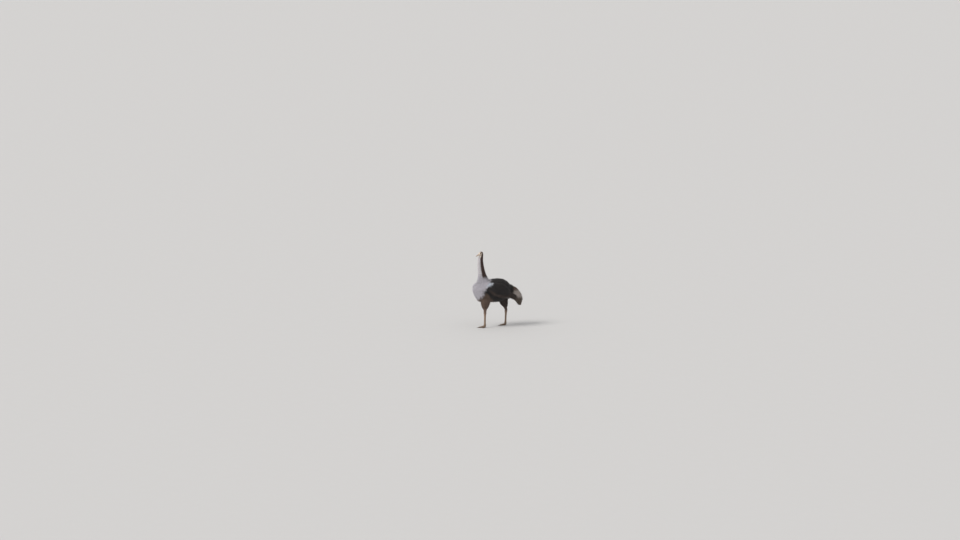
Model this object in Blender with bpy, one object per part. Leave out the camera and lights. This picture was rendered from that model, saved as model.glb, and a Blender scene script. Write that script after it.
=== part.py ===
"""A standing ostrich, life size, as the solids of its body parts.

Metres, +Z up. The bird faces -Y and its left side is +X. It stands on the floor, z = 0, and the
middle of its box is over the origin. Every solid reaches out to the tips of its feathers.
The left leg is set forward and the right leg trails, as in a slow walk.
"""

import math

import bpy
from mathutils import Vector

# ---------------------------------------------------------------- driving dimensions
EYE_HEIGHT = 2.150
EYE_LINE_Y = -0.465
HEAD_PITCH = math.radians(22.0)
EYE_RADIUS = 0.0235
EYE_SPREAD = 0.0285
EYE_RISE = 0.006

BEAK_BASE_Y = -0.062
BEAK_LENGTH = 0.090
MOUTH_BASE_Z = -0.012
MOUTH_TIP_Z = -0.021

SHANK_TOP = 0.462
BALL_HEIGHT = 0.052
STANCE_HALF_WIDTH = 0.100
FRONT_HOCK_Y = -0.360
FRONT_BALL_Y = -0.365
REAR_HOCK_Y = 0.376
REAR_BALL_Y = 0.357

FRONT_KNEE = (0.130, -0.335, 0.960)
REAR_KNEE = (-0.130, 0.250, 0.960)
DRUMSTICK_BOW = (0.012, -0.012)  # outward and along y, at the middle of the drumstick

INNER_TOE_ROOT = (0.006, -0.010)  # inward and along y from the middle of the ball of the foot
OUTER_TOE_ROOT = (0.022, -0.006)
INNER_TOE_LENGTH = 0.178
OUTER_TOE_LENGTH = 0.118
CLAW_LENGTH = 0.066
OUTER_TOE_SPLAY = math.radians(27.0)
INNER_TOE_SPLAY = math.radians(4.0)
SOLE_FULLNESS = 2.4
SOLE_PRESS = 1.12  # how much deeper than the floor allows a toe is, so that its sole is flat
CLAW_ROOT_SHARE = 0.93  # how far along the inner toe the claw starts
CLAW_ROOT_HEIGHT = 0.0175
CLAW_DROP = 0.0135
CLAW_CURVE = 1.6
CLAW_CLEARANCE = 0.001  # how far over the floor the claw's underside stays

JOINT_GAP = 0.0006  # the clearance between neighbouring solids
NECK_CUT_HEIGHT = 1.760
FULLNESS = 2.3  # the power of the superellipse that a feathered cross-section follows
LIMB_FULLNESS = 2.1
ROUND = 2.0
BEAK_SHOULDER = 0.85  # how squarely the beak's cross-section turns at its edge
BEAK_ROOF = 0.9  # how round it is over the top
EYE_POLE_ANGLE = 0.12  # the half angle of the small cap that closes each end of an eyeball
SHARP_ANGLE = math.radians(50)

# How many corners each cross-section has.
TRUNK_SIDES = 28
HEAD_SIDES = 24
FEATHERED_SIDES = 20
THIGH_SIDES = 18
SHANK_SIDES = 14
EYE_SIDES = 14
TOE_SIDES = 12
CLAW_SIDES = 8
BEAK_ARC_STEPS = 12
BEAK_FLAT_STEPS = 4

# How many cross-sections each part is drawn through.
TRUNK_RINGS = 18
NECK_LOWER_RINGS = 11
NECK_UPPER_RINGS = 9
TAIL_RINGS = 13
WING_RINGS = 15
HEAD_RINGS = 13
BEAK_RINGS = 10
EYE_RINGS = 9
THIGH_RINGS = 9
SHANK_RINGS = 12
TOE_RINGS = 12
CLAW_RINGS = 6
BLUNT_CROWDING = 0.45  # how far the cross-sections of a blunt-ended part draw towards its ends
HEAD_CROWDING = 0.35

# How far past its first and last ring a part comes to its end, as a share of the ring's reach.
ROUNDED = (0.35, 0.35)
FLAT = (0.0, 0.0)
ROUNDED_TIP = (0.0, 0.3)
EYE_ENDS = (0.06, 0.06)

# Each list below runs along one part. A row is the place along the part, then its sizes there.
# Trunk: y, centre height, half width, reach up, reach down.
TRUNK = (
    (-0.662, 1.005, 0.050, 0.085, 0.110),
    (-0.638, 1.018, 0.118, 0.180, 0.208),
    (-0.580, 1.034, 0.185, 0.246, 0.276),
    (-0.460, 1.050, 0.240, 0.305, 0.308),
    (-0.250, 1.060, 0.275, 0.325, 0.335),
    (0.000, 1.065, 0.280, 0.325, 0.340),
    (0.200, 1.075, 0.258, 0.298, 0.318),
    (0.340, 1.080, 0.205, 0.228, 0.250),
    (0.425, 1.085, 0.125, 0.138, 0.155),
    (0.460, 1.088, 0.050, 0.058, 0.062),
)
# Neck: height, centre y, half width, reach forward, reach back.
NECK = (
    (1.240, -0.360, 0.185, 0.190, 0.240),
    (1.370, -0.380, 0.158, 0.178, 0.190),
    (1.450, -0.396, 0.121, 0.147, 0.147),
    (1.560, -0.418, 0.092, 0.118, 0.115),
    (1.700, -0.443, 0.079, 0.105, 0.098),
    (1.850, -0.461, 0.072, 0.095, 0.088),
    (1.980, -0.459, 0.062, 0.080, 0.073),
    (2.050, -0.443, 0.054, 0.063, 0.060),
    (2.100, -0.427, 0.047, 0.048, 0.049),
    (2.150, -0.418, 0.036, 0.036, 0.036),
)
# Tail: centre y, centre height, half width, half depth, down a path that arches and droops.
TAIL = (
    (0.330, 1.105, 0.115, 0.120),
    (0.440, 1.055, 0.135, 0.142),
    (0.545, 0.985, 0.148, 0.148),
    (0.637, 0.890, 0.145, 0.138),
    (0.704, 0.787, 0.126, 0.108),
    (0.744, 0.685, 0.096, 0.070),
    (0.762, 0.615, 0.055, 0.034),
)
# Folded wing, left side: y, centre x, centre height, half thickness, half height.
WING = (
    (-0.415, 0.170, 1.150, 0.040, 0.040),
    (-0.390, 0.160, 1.150, 0.095, 0.100),
    (-0.300, 0.165, 1.140, 0.135, 0.160),
    (-0.150, 0.185, 1.115, 0.148, 0.195),
    (0.050, 0.190, 1.080, 0.150, 0.208),
    (0.190, 0.178, 1.055, 0.142, 0.194),
    (0.300, 0.165, 1.012, 0.112, 0.156),
    (0.375, 0.160, 0.975, 0.072, 0.104),
    (0.420, 0.160, 0.945, 0.034, 0.048),
)
# Head, in its own frame with the eyes at y = 0: y, centre height, half width, up, down.
HEAD = (
    (-0.062, -0.010, 0.0325, 0.0215, 0.0215),
    (-0.045, -0.006, 0.0370, 0.0290, 0.0300),
    (-0.020, -0.002, 0.0430, 0.0390, 0.0400),
    (0.006, 0.000, 0.0468, 0.0450, 0.0460),
    (0.034, 0.001, 0.0455, 0.0455, 0.0470),
    (0.058, 0.000, 0.0370, 0.0370, 0.0400),
    (0.074, -0.002, 0.0220, 0.0210, 0.0240),
    (0.081, -0.003, 0.0080, 0.0080, 0.0090),
)
# Beak: share of its length, half width, reach above the mouth line, reach below it.
BEAK = (
    (0.00, 0.0325, 0.0230, 0.0190),
    (0.25, 0.0315, 0.0185, 0.0145),
    (0.55, 0.0285, 0.0140, 0.0110),
    (0.80, 0.0225, 0.0112, 0.0088),
    (0.94, 0.0140, 0.0082, 0.0060),
    (1.00, 0.0050, 0.0040, 0.0030),
)
# Thigh and drumstick: share of the way from knee to hock, half width, half depth.
THIGH = (
    (0.00, 0.078, 0.118),
    (0.20, 0.090, 0.146),
    (0.42, 0.086, 0.142),
    (0.62, 0.068, 0.116),
    (0.80, 0.048, 0.078),
    (0.92, 0.036, 0.050),
    (1.00, 0.036, 0.042),
)
# Shank: distance under its top, half width, half depth.
SHANK = (
    (0.000, 0.0350, 0.0405),
    (0.022, 0.0370, 0.0450),
    (0.057, 0.0320, 0.0400),
    (0.112, 0.0245, 0.0310),
    (0.232, 0.0215, 0.0275),
    (0.342, 0.0235, 0.0290),
    (0.392, 0.0300, 0.0350),
    (0.422, 0.0300, 0.0330),
    (0.444, 0.0190, 0.0200),
)
# Toes: share of the length, half width, height of the back of the toe over the floor.
INNER_TOE = (
    (-0.12, 0.0220, 0.060),
    (0.04, 0.0300, 0.066),
    (0.22, 0.0320, 0.056),
    (0.38, 0.0285, 0.047),
    (0.54, 0.0300, 0.043),
    (0.70, 0.0260, 0.036),
    (0.86, 0.0270, 0.033),
    (0.97, 0.0190, 0.026),
    (1.00, 0.0100, 0.018),
)
OUTER_TOE = (
    (-0.16, 0.0150, 0.040),
    (0.06, 0.0200, 0.046),
    (0.28, 0.0215, 0.040),
    (0.48, 0.0190, 0.033),
    (0.70, 0.0195, 0.030),
    (0.90, 0.0160, 0.025),
    (1.00, 0.0080, 0.015),
)
# Claw: share of its length, half width, half height.
CLAW = (
    (0.00, 0.0125, 0.0105),
    (0.35, 0.0112, 0.0092),
    (0.70, 0.0072, 0.0062),
    (1.00, 0.0022, 0.0020),
)

# Body materials: colour, roughness.
FINISHES = {
    "pale_down": ((0.62, 0.60, 0.66), 0.85),
    "neck_down": ((0.46, 0.40, 0.36), 0.85),
    "black_plume": ((0.022, 0.019, 0.018), 0.75),
    "tail_plume": ((0.42, 0.34, 0.28), 0.80),
    "bare_skin": ((0.30, 0.22, 0.18), 0.60),
    "leg_scale": ((0.44, 0.38, 0.31), 0.55),
    "horn": ((0.42, 0.33, 0.22), 0.40),
    "eye": ((0.05, 0.03, 0.02), 0.08),
}


LEFT, FORWARD, UP = Vector((1, 0, 0)), Vector((0, -1, 0)), Vector((0, 0, 1))


# ---------------------------------------------------------------- curves and rings
def read_between(rows, place):
    """The sizes at a place along a part, on a smooth curve through its rows."""
    last = len(rows) - 1
    at = next((i for i in range(last) if place <= rows[i + 1][0]), last - 1)
    lower, upper = rows[at], rows[at + 1]
    before, after = rows[max(at - 1, 0)], rows[min(at + 2, last)]
    span = upper[0] - lower[0]
    share = (place - lower[0]) / span
    found = []
    for column in range(1, len(lower)):
        rise = upper[column] - lower[column]
        slope_in = span * (upper[column] - before[column]) / (upper[0] - before[0])
        slope_out = span * (after[column] - lower[column]) / (after[0] - lower[0])
        bend = share * (1 - share)
        curve = (slope_in - rise) * (1 - share) - (slope_out - rise) * share
        found.append(lower[column] + rise * share + bend * curve)
    return found


def places(first, last, count, crowding=0.0):
    """Evenly spread places from first to last, drawn towards the two ends by crowding."""
    even = [i / (count - 1) for i in range(count)]
    rounded = [(1 - math.cos(math.pi * t)) / 2 for t in even]
    mixed = [(1 - crowding) * t + crowding * r for t, r in zip(even, rounded)]
    return [first + (last - first) * t for t in mixed]


def superellipse(centre, side, up, half_width, reach_up, reach_down, sides, fullness):
    """One closed ring of points round a centre."""
    points = []
    for step in range(sides):
        angle = 2 * math.pi * (step + 0.5) / sides
        across = math.copysign(abs(math.cos(angle)) ** (2 / fullness), math.cos(angle))
        along = math.copysign(abs(math.sin(angle)) ** (2 / fullness), math.sin(angle))
        reach = reach_up if along > 0 else reach_down
        points.append(centre + side * (half_width * across) + up * (reach * along))
    return points


def path_rings(path, sizes, sides, fullness, side=LEFT):
    """Rings square to a path. A size row is half width, reach up and reach down."""
    rings = []
    for i, centre in enumerate(path):
        ahead = path[min(i + 1, len(path) - 1)] - path[max(i - 1, 0)]
        up = side.cross(ahead).normalized()
        half_width, reach_up, reach_down = sizes[i]
        rings.append(
            superellipse(centre, side, up, half_width, reach_up, reach_down, sides, fullness)
        )
    return rings


# ---------------------------------------------------------------- objects
def finish_material(name):
    material = bpy.data.materials.get(name)
    if material is None:
        colour, roughness = FINISHES[name]
        material = bpy.data.materials.new(name)
        material.use_nodes = True
        shader = material.node_tree.nodes["Principled BSDF"]
        shader.inputs["Base Color"].default_value = (*colour, 1.0)
        shader.inputs["Roughness"].default_value = roughness
        shader.inputs["Metallic"].default_value = 0.0
    return material


def mesh_object(name, points, faces, finish, parent):
    mesh = bpy.data.meshes.new(name)
    mesh.from_pydata(points, [], faces)
    mesh.update()
    mesh.shade_smooth()
    mesh.set_sharp_from_angle(angle=SHARP_ANGLE)
    body = bpy.data.objects.new(name, mesh)
    bpy.context.scene.collection.objects.link(body)
    body.parent = parent
    mesh.materials.append(finish_material(finish))
    return body


def loft(name, rings, finish, parent, swell=ROUNDED):
    """A closed solid through rings of equal count. An end closes on a point its swell past it."""
    sides = len(rings[0])
    points = [point for ring in rings for point in ring]
    faces = []
    for row in range(len(rings) - 1):
        for step in range(sides):
            following = (step + 1) % sides
            low, high = row * sides, (row + 1) * sides
            faces.append((low + step, low + following, high + following))
            faces.append((low + step, high + following, high + step))
    ends = ((0, 1, swell[0]), (len(rings) - 1, len(rings) - 2, swell[1]))
    for row, neighbour, end_swell in ends:
        middle = sum(rings[row], Vector()) / sides
        inner = sum(rings[neighbour], Vector()) / sides
        outward = (middle - inner).normalized()
        reach = min((point - middle).length for point in rings[row])
        points.append(middle + outward * reach * end_swell)
        pole = len(points) - 1
        for step in range(sides):
            here, following = row * sides + step, row * sides + (step + 1) % sides
            faces.append((pole, following, here) if row == 0 else (pole, here, following))
    body = mesh_object(name, points, faces, finish, parent)
    if signed_volume(body.data) < 0:
        body.data.flip_normals()
    return body


def signed_volume(mesh):
    mesh.calc_loop_triangles()
    spots = [vertex.co for vertex in mesh.vertices]
    return sum(
        spots[a].dot(spots[b].cross(spots[c])) / 6
        for a, b, c in (triangle.vertices for triangle in mesh.loop_triangles)
    )


def room_for(body):
    """A guide JOINT_GAP larger all round than a solid, which cuts its neighbours clear of it."""
    room = bpy.data.objects.new(f"{body.name}_room", body.data.copy())
    bpy.context.scene.collection.objects.link(room)
    room.parent = body.parent
    for vertex in room.data.vertices:
        vertex.co += vertex.normal * JOINT_GAP
    room.hide_render = True
    room.display_type = "WIRE"
    return room


def cut_by(body, *cutters):
    for cutter in cutters:
        cut = body.modifiers.new(f"clear of {cutter.name}", "BOOLEAN")
        cut.operation = "DIFFERENCE"
        cut.solver = "EXACT"
        cut.object = cutter


# ---------------------------------------------------------------- trunk, neck, tail and wings
def trunk_solid(name, finish, bird):
    path, sizes = [], []
    for y in places(TRUNK[0][0], TRUNK[-1][0], TRUNK_RINGS, BLUNT_CROWDING):
        height, half_width, up, down = read_between(TRUNK, y)
        path.append(Vector((0, y, height)))
        sizes.append((half_width, up, down))
    rings = path_rings(path, sizes, TRUNK_SIDES, FULLNESS)
    return loft(name, rings, finish, bird)


def neck_solid(name, finish, bird, low, high, count):
    """A length of the neck. Its rings are square to the floor's plumb line."""
    rings = []
    for height in places(low, high, count):
        y, half_width, ahead, behind = read_between(NECK, height)
        centre = Vector((0, y, height))
        sizes = (half_width, ahead, behind)
        rings.append(
            superellipse(centre, LEFT, FORWARD, *sizes, FEATHERED_SIDES, LIMB_FULLNESS)
        )
    return loft(name, rings, finish, bird, swell=FLAT)


def tail_solid(name, finish, bird):
    rows = [(i, *row) for i, row in enumerate(TAIL)]
    path, sizes = [], []
    for place in places(0, len(TAIL) - 1, TAIL_RINGS):
        y, height, half_width, half_depth = read_between(rows, place)
        path.append(Vector((0, y, height)))
        sizes.append((half_width, half_depth, half_depth))
    return loft(name, path_rings(path, sizes, FEATHERED_SIDES, FULLNESS), finish, bird)


def wing_solid(name, side, finish, bird):
    rings = []
    for y in places(WING[0][0], WING[-1][0], WING_RINGS, BLUNT_CROWDING):
        x, height, half_thick, half_high = read_between(WING, y)
        centre = Vector((side * x, y, height))
        sizes = (half_thick, half_high, half_high)
        rings.append(superellipse(centre, LEFT, UP, *sizes, FEATHERED_SIDES, LIMB_FULLNESS))
    return loft(name, rings, finish, bird)


# ---------------------------------------------------------------- head
def head_solid(name, finish, skull):
    rings = []
    for y in places(HEAD[0][0], HEAD[-1][0], HEAD_RINGS, HEAD_CROWDING):
        height, half_width, up, down = read_between(HEAD, y)
        centre = Vector((0, y, height))
        sizes = (half_width, up, down)
        rings.append(superellipse(centre, LEFT, UP, *sizes, HEAD_SIDES, LIMB_FULLNESS))
    return loft(name, rings, finish, skull, swell=ROUNDED_TIP)


def beak_half(name, upper, skull):
    """One half of the beak: a half superellipse over or under the flat mouth line."""
    rings = []
    for share in places(0, 1, BEAK_RINGS, BLUNT_CROWDING):
        half_width, above, below = read_between(BEAK, share)
        y = BEAK_BASE_Y - 2 * JOINT_GAP - BEAK_LENGTH * share
        mouth = MOUTH_BASE_Z + (MOUTH_TIP_Z - MOUTH_BASE_Z) * share
        rings.append(half_ring(y, mouth, half_width, above if upper else -below))
    return loft(name, rings, "horn", skull, swell=ROUNDED_TIP)


def half_ring(y, mouth, half_width, reach):
    """An arch over the mouth line, or under it where reach is negative, and its flat foot."""
    turn = 1 if reach > 0 else -1
    points = []
    for step in range(BEAK_ARC_STEPS + 1):
        angle = math.pi * step / BEAK_ARC_STEPS
        across = math.copysign(abs(math.cos(angle)) ** BEAK_SHOULDER, math.cos(angle))
        lift = math.sin(angle) ** BEAK_ROOF * abs(reach)
        points.append(Vector((across * half_width, y, mouth + turn * (lift + JOINT_GAP))))
    for step in range(1, BEAK_FLAT_STEPS):
        across = -half_width + 2 * half_width * step / BEAK_FLAT_STEPS
        points.append(Vector((across, y, mouth + turn * JOINT_GAP)))
    return points


def eye_solid(name, side, skull):
    """A ball, its poles facing outward."""
    rings = []
    for turn in places(EYE_POLE_ANGLE, math.pi - EYE_POLE_ANGLE, EYE_RINGS):
        centre = Vector((side * EYE_SPREAD - EYE_RADIUS * math.cos(turn), 0, EYE_RISE))
        size = EYE_RADIUS * math.sin(turn)
        rings.append(superellipse(centre, -FORWARD, UP, size, size, size, EYE_SIDES, ROUND))
    return loft(name, rings, "eye", skull, swell=EYE_ENDS)


def make_head(bird):
    skull = bpy.data.objects.new("skull_frame", None)
    bpy.context.scene.collection.objects.link(skull)
    skull.parent = bird
    skull.location = (0, EYE_LINE_Y, EYE_HEIGHT - EYE_RISE)
    skull.rotation_euler = (HEAD_PITCH, 0, 0)
    head = head_solid("head", "neck_down", skull)
    for side, word in ((1, "left"), (-1, "right")):
        eye = eye_solid(f"eye_{word}", side, skull)
        cut_by(head, room_for(eye))
    beak_half("beak_upper", True, skull)
    beak_half("beak_lower", False, skull)
    return head


# ---------------------------------------------------------------- legs and feet
def thigh_path(side, hock_y, knee):
    hock = Vector((side * STANCE_HALF_WIDTH, hock_y, SHANK_TOP + JOINT_GAP))
    bow = Vector((side * DRUMSTICK_BOW[0], DRUMSTICK_BOW[1], 0))
    path = []
    for share in places(0, 1, THIGH_RINGS):
        lean = math.sin(math.pi * share)
        path.append(knee.lerp(hock, share) + bow * lean)
    return path


def thigh_solid(name, side, hock_y, knee, finish, bird):
    rings = []
    for centre, share in zip(thigh_path(side, hock_y, knee), places(0, 1, THIGH_RINGS)):
        half_width, half_depth = read_between(THIGH, share)
        sizes = (half_width, half_depth, half_depth)
        rings.append(superellipse(centre, LEFT, FORWARD, *sizes, THIGH_SIDES, LIMB_FULLNESS))
    return loft(name, rings, finish, bird, swell=FLAT)


def shank_solid(name, side, hock_y, ball_y, finish, bird):
    rings = []
    for drop in places(SHANK[0][0], SHANK[-1][0], SHANK_RINGS):
        half_width, half_depth = read_between(SHANK, drop)
        share = min(drop / (SHANK_TOP - BALL_HEIGHT), 1.0)
        y = hock_y + (ball_y - hock_y) * share
        centre = Vector((side * STANCE_HALF_WIDTH, y, SHANK_TOP - drop))
        sizes = (half_width, half_depth, half_depth)
        rings.append(superellipse(centre, LEFT, FORWARD, *sizes, SHANK_SIDES, LIMB_FULLNESS))
    return loft(name, rings, finish, bird, swell=FLAT)


def toe_axes(heading):
    """The way that a toe points and the way across it."""
    forward = Vector((math.sin(heading), -math.cos(heading), 0))
    across = Vector((math.cos(heading), math.sin(heading), 0))
    return forward, across


def toe_solid(name, rows, length, root, heading, bird):
    """A toe with a flat sole on the floor and a joint swelling at each of its pads."""
    forward, across = toe_axes(heading)
    rings = []
    for share in places(rows[0][0], rows[-1][0], TOE_RINGS):
        half_width, height = read_between(rows, share)
        centre = root + forward * (length * share) + UP * (height / 2)
        half_height = height / 2 * SOLE_PRESS
        sizes = (half_width, half_height, half_height)
        ring = superellipse(centre, across, UP, *sizes, TOE_SIDES, SOLE_FULLNESS)
        rings.append([Vector((point.x, point.y, max(point.z, 0.0))) for point in ring])
    return loft(name, rings, "leg_scale", bird, swell=FLAT)


def claw_solid(name, root, heading, bird):
    """The big nail of the inner toe, which curves down towards the floor."""
    forward, across = toe_axes(heading)
    start = root + forward * (INNER_TOE_LENGTH * CLAW_ROOT_SHARE)
    rings = []
    for share in places(0, 1, CLAW_RINGS):
        half_width, half_high = read_between(CLAW, share)
        height = CLAW_ROOT_HEIGHT - CLAW_DROP * share**CLAW_CURVE
        centre = start + forward * (CLAW_LENGTH * share) + UP * height
        sizes = (half_width, half_high, min(half_high, height - CLAW_CLEARANCE))
        rings.append(superellipse(centre, across, UP, *sizes, CLAW_SIDES, ROUND))
    return loft(name, rings, "horn", bird)


def make_leg(word, side, hock_y, ball_y, knee, trunk_room, tail_room, bird):
    thigh = thigh_solid(f"thigh_{word}", side, hock_y, knee, "bare_skin", bird)
    shank = shank_solid(f"shank_{word}", side, hock_y, ball_y, "leg_scale", bird)
    root = Vector((side * STANCE_HALF_WIDTH, ball_y, 0))
    inner_root = root + Vector((-side * INNER_TOE_ROOT[0], INNER_TOE_ROOT[1], 0))
    outer_root = root + Vector((side * OUTER_TOE_ROOT[0], OUTER_TOE_ROOT[1], 0))
    inner_heading = -side * INNER_TOE_SPLAY
    outer_heading = side * OUTER_TOE_SPLAY
    inner = toe_solid(
        f"toe_inner_{word}", INNER_TOE, INNER_TOE_LENGTH, inner_root, inner_heading, bird
    )
    outer = toe_solid(
        f"toe_outer_{word}", OUTER_TOE, OUTER_TOE_LENGTH, outer_root, outer_heading, bird
    )
    claw = claw_solid(f"claw_{word}", inner_root, inner_heading, bird)
    thigh_room, shank_room, inner_room = (room_for(body) for body in (thigh, shank, inner))
    cut_by(thigh, trunk_room, tail_room)
    cut_by(inner, shank_room)
    cut_by(outer, shank_room, inner_room)
    cut_by(claw, inner_room)
    return thigh_room


# ---------------------------------------------------------------- the whole bird
def centre_over_origin(bird):
    """Shifts the bird so that its box is centred over the origin."""
    bpy.context.view_layer.update()
    corners = []
    for body in bpy.context.scene.objects:
        if body.type == "MESH" and not body.hide_render:
            corners += [body.matrix_world @ Vector(corner) for corner in body.bound_box]
    middle_x = (min(c.x for c in corners) + max(c.x for c in corners)) / 2
    middle_y = (min(c.y for c in corners) + max(c.y for c in corners)) / 2
    bird.location = (-middle_x, -middle_y, 0)


def build_ostrich():
    for body in list(bpy.data.objects):
        bpy.data.objects.remove(body, do_unlink=True)
    bird = bpy.data.objects.new("ostrich_frame", None)
    bpy.context.scene.collection.objects.link(bird)

    trunk_room = room_for(trunk_solid("trunk", "black_plume", bird))
    head_room = room_for(make_head(bird))
    neck_lower = neck_solid(
        "neck_lower",
        "pale_down",
        bird,
        NECK[0][0],
        NECK_CUT_HEIGHT - JOINT_GAP / 2,
        NECK_LOWER_RINGS,
    )
    neck_upper = neck_solid(
        "neck_upper",
        "neck_down",
        bird,
        NECK_CUT_HEIGHT + JOINT_GAP / 2,
        NECK[-1][0],
        NECK_UPPER_RINGS,
    )
    tail = tail_solid("tail", "tail_plume", bird)
    tail_room = room_for(tail)
    cut_by(neck_lower, trunk_room)
    cut_by(neck_upper, head_room)
    cut_by(tail, trunk_room)
    legs = (
        ("left", 1, FRONT_HOCK_Y, FRONT_BALL_Y, FRONT_KNEE),
        ("right", -1, REAR_HOCK_Y, REAR_BALL_Y, REAR_KNEE),
    )
    for word, side, hock_y, ball_y, knee in legs:
        stance = (side, hock_y, ball_y, Vector(knee))
        thigh_room = make_leg(word, *stance, trunk_room, tail_room, bird)
        wing = wing_solid(f"wing_{word}", side, "black_plume", bird)
        cut_by(wing, trunk_room, tail_room, thigh_room)
    centre_over_origin(bird)


build_ostrich()
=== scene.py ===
"""The looks of the standing ostrich: one skin, plumes, down, scales, beak, eyes and claws."""

import math

import bmesh
import bpy
import numpy as np
from mathutils import Matrix, Vector
from mathutils.bvhtree import BVHTree


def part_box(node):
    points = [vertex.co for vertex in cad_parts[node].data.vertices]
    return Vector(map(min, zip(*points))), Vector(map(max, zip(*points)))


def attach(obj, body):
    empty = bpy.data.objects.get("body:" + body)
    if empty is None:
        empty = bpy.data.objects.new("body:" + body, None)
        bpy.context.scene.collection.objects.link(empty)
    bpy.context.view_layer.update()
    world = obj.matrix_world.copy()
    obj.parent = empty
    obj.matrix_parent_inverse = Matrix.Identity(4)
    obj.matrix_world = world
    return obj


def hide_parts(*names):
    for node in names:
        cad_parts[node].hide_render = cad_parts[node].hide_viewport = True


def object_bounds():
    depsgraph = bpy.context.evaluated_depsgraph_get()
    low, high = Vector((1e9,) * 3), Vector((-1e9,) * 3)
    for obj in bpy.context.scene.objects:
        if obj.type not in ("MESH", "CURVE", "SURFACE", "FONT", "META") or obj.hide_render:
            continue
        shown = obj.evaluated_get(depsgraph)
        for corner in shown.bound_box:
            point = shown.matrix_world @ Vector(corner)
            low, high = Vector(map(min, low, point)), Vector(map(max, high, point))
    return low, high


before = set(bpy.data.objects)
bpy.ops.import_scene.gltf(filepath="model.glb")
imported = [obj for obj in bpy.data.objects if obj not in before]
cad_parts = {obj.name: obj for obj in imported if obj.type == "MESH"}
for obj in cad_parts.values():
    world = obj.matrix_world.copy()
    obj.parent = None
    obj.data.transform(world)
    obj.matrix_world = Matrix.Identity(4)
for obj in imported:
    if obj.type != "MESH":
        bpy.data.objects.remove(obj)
cad_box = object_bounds()

SIDES = (("left", 1), ("right", -1))
HEAD_PITCH = math.radians(22.0)
EYE_RISE = 0.006  # the eyes' height over the head's own origin
RNG = np.random.default_rng(20)

# How far the skin lies inside each solid, which is also about how deep the coat is there.
COAT_DEPTH = {
    "trunk": 0.046,
    "wing": 0.030,
    "tail": 0.055,
    "neck_lower": 0.020,  # halfway up it, and depth_at gives the rest
    "neck_upper": 0.011,
    "head": 0.0016,
    "thigh": 0.0012,
    "shank": 0.0014,
    "toe": 0.0014,
}
FLESH = [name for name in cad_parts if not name.startswith(("eye", "beak", "claw"))]


# ---------------- numbers and meshes
def node_kind(name):
    """The key of COAT_DEPTH that a node belongs to."""
    return next(kind for kind in COAT_DEPTH if name.startswith(kind))


def unit(vectors):
    return vectors / np.maximum(np.linalg.norm(vectors, axis=-1, keepdims=True), 1e-9)


def ramp(values, start, end):
    """0 before start, 1 after end and a smooth turn between."""
    share = np.clip((values - start) / (end - start), 0, 1)
    return share * share * (3 - 2 * share)


def bump(values, middle, reach):
    """1 in the middle, falling smoothly to 0 at reach."""
    return np.exp(-(((values - middle) / reach) ** 2) * 2.0)


def mix(first, second, share):
    """Values from first at share 0 to second at share 1, or one colour for all points."""
    return first * (1 - share[..., None]) + second * share[..., None]


def wobble(points, size, seed=0):
    """Smooth noise of about -1 to 1 whose lumps are size metres across."""
    rng = np.random.default_rng(seed)
    total = np.zeros(points.shape[:-1])
    for octave in range(5):
        heading = unit(rng.normal(size=3)) * (2 * math.pi / size) * (0.6 + 0.35 * octave)
        total += np.sin(points @ heading + rng.uniform(0, 2 * math.pi))
    return total / 3.2


def read(items, field, width, kind=float):
    """One field of all the items of a mesh, as rows of the given width."""
    values = np.empty(len(items) * width, kind)
    items.foreach_get(field, values)
    return values.reshape(-1, width)


def mesh_arrays(mesh):
    """The corners of a mesh and its triangles."""
    mesh.calc_loop_triangles()
    return read(mesh.vertices, "co", 3), read(mesh.loop_triangles, "vertices", 3, int)


def joined(parts):
    """Several sets of corners, faces and one more array, as one set."""
    starts = np.cumsum([0] + [len(part[0]) for part in parts[:-1]])
    spots = np.concatenate([part[0] for part in parts])
    faces = np.concatenate([part[1] + start for part, start in zip(parts, starts)])
    return spots, faces, np.concatenate([part[2] for part in parts])


def joined_nodes(names):
    """The corners and the faces of several solids, and the name that each face belongs to."""
    parts = []
    for name in names:
        spots, faces = mesh_arrays(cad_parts[name].data)
        parts.append((spots, faces, np.full(len(faces), name)))
    return joined(parts)


def new_mesh(name, spots, faces):
    mesh = bpy.data.meshes.new(name)
    mesh.from_pydata(np.asarray(spots).tolist(), [], np.asarray(faces).tolist())
    mesh.update()
    return mesh


def new_piece(name, mesh):
    piece = bpy.data.objects.new(name, mesh)
    bpy.context.scene.collection.objects.link(piece)
    return piece


def fused(names, voxel, rounds, extra=()):
    """The closed surface round several nodes and extra parts, as an even mesh that is eased."""
    spots, faces, _ = joined([joined_nodes(names), *extra])
    blank = new_piece("blank", new_mesh("blank", spots, faces))
    fuse = blank.modifiers.new("fuse", "REMESH")
    fuse.mode = "VOXEL"
    fuse.voxel_size = voxel
    ease = blank.modifiers.new("ease", "SMOOTH")
    ease.factor = 0.5
    ease.iterations = rounds
    graph = bpy.context.evaluated_depsgraph_get()
    result = bpy.data.meshes.new_from_object(blank.evaluated_get(graph))
    old = blank.data
    bpy.data.objects.remove(blank)
    bpy.data.meshes.remove(old)
    return result


def tree_of(spots, faces):
    return BVHTree.FromPolygons(np.asarray(spots).tolist(), np.asarray(faces).tolist())


def nearest(tree, points):
    """The nearest spot on a surface to each point, its normal and its face."""
    spots = np.empty((len(points), 3))
    normals = np.empty((len(points), 3))
    faces = np.empty(len(points), int)
    for i, point in enumerate(points.tolist()):
        spot, normal, face, _ = tree.find_nearest(point)
        spots[i], normals[i], faces[i] = spot, normal, face
    return spots, normals, faces


def vertex_normals(mesh):
    return read(mesh.vertex_normals, "vector", 3, np.float32).astype(float)


def edge_pairs(mesh):
    return read(mesh.edges, "vertices", 2, int)


def move_to(mesh, spots):
    mesh.vertices.foreach_set("co", spots.ravel())


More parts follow.
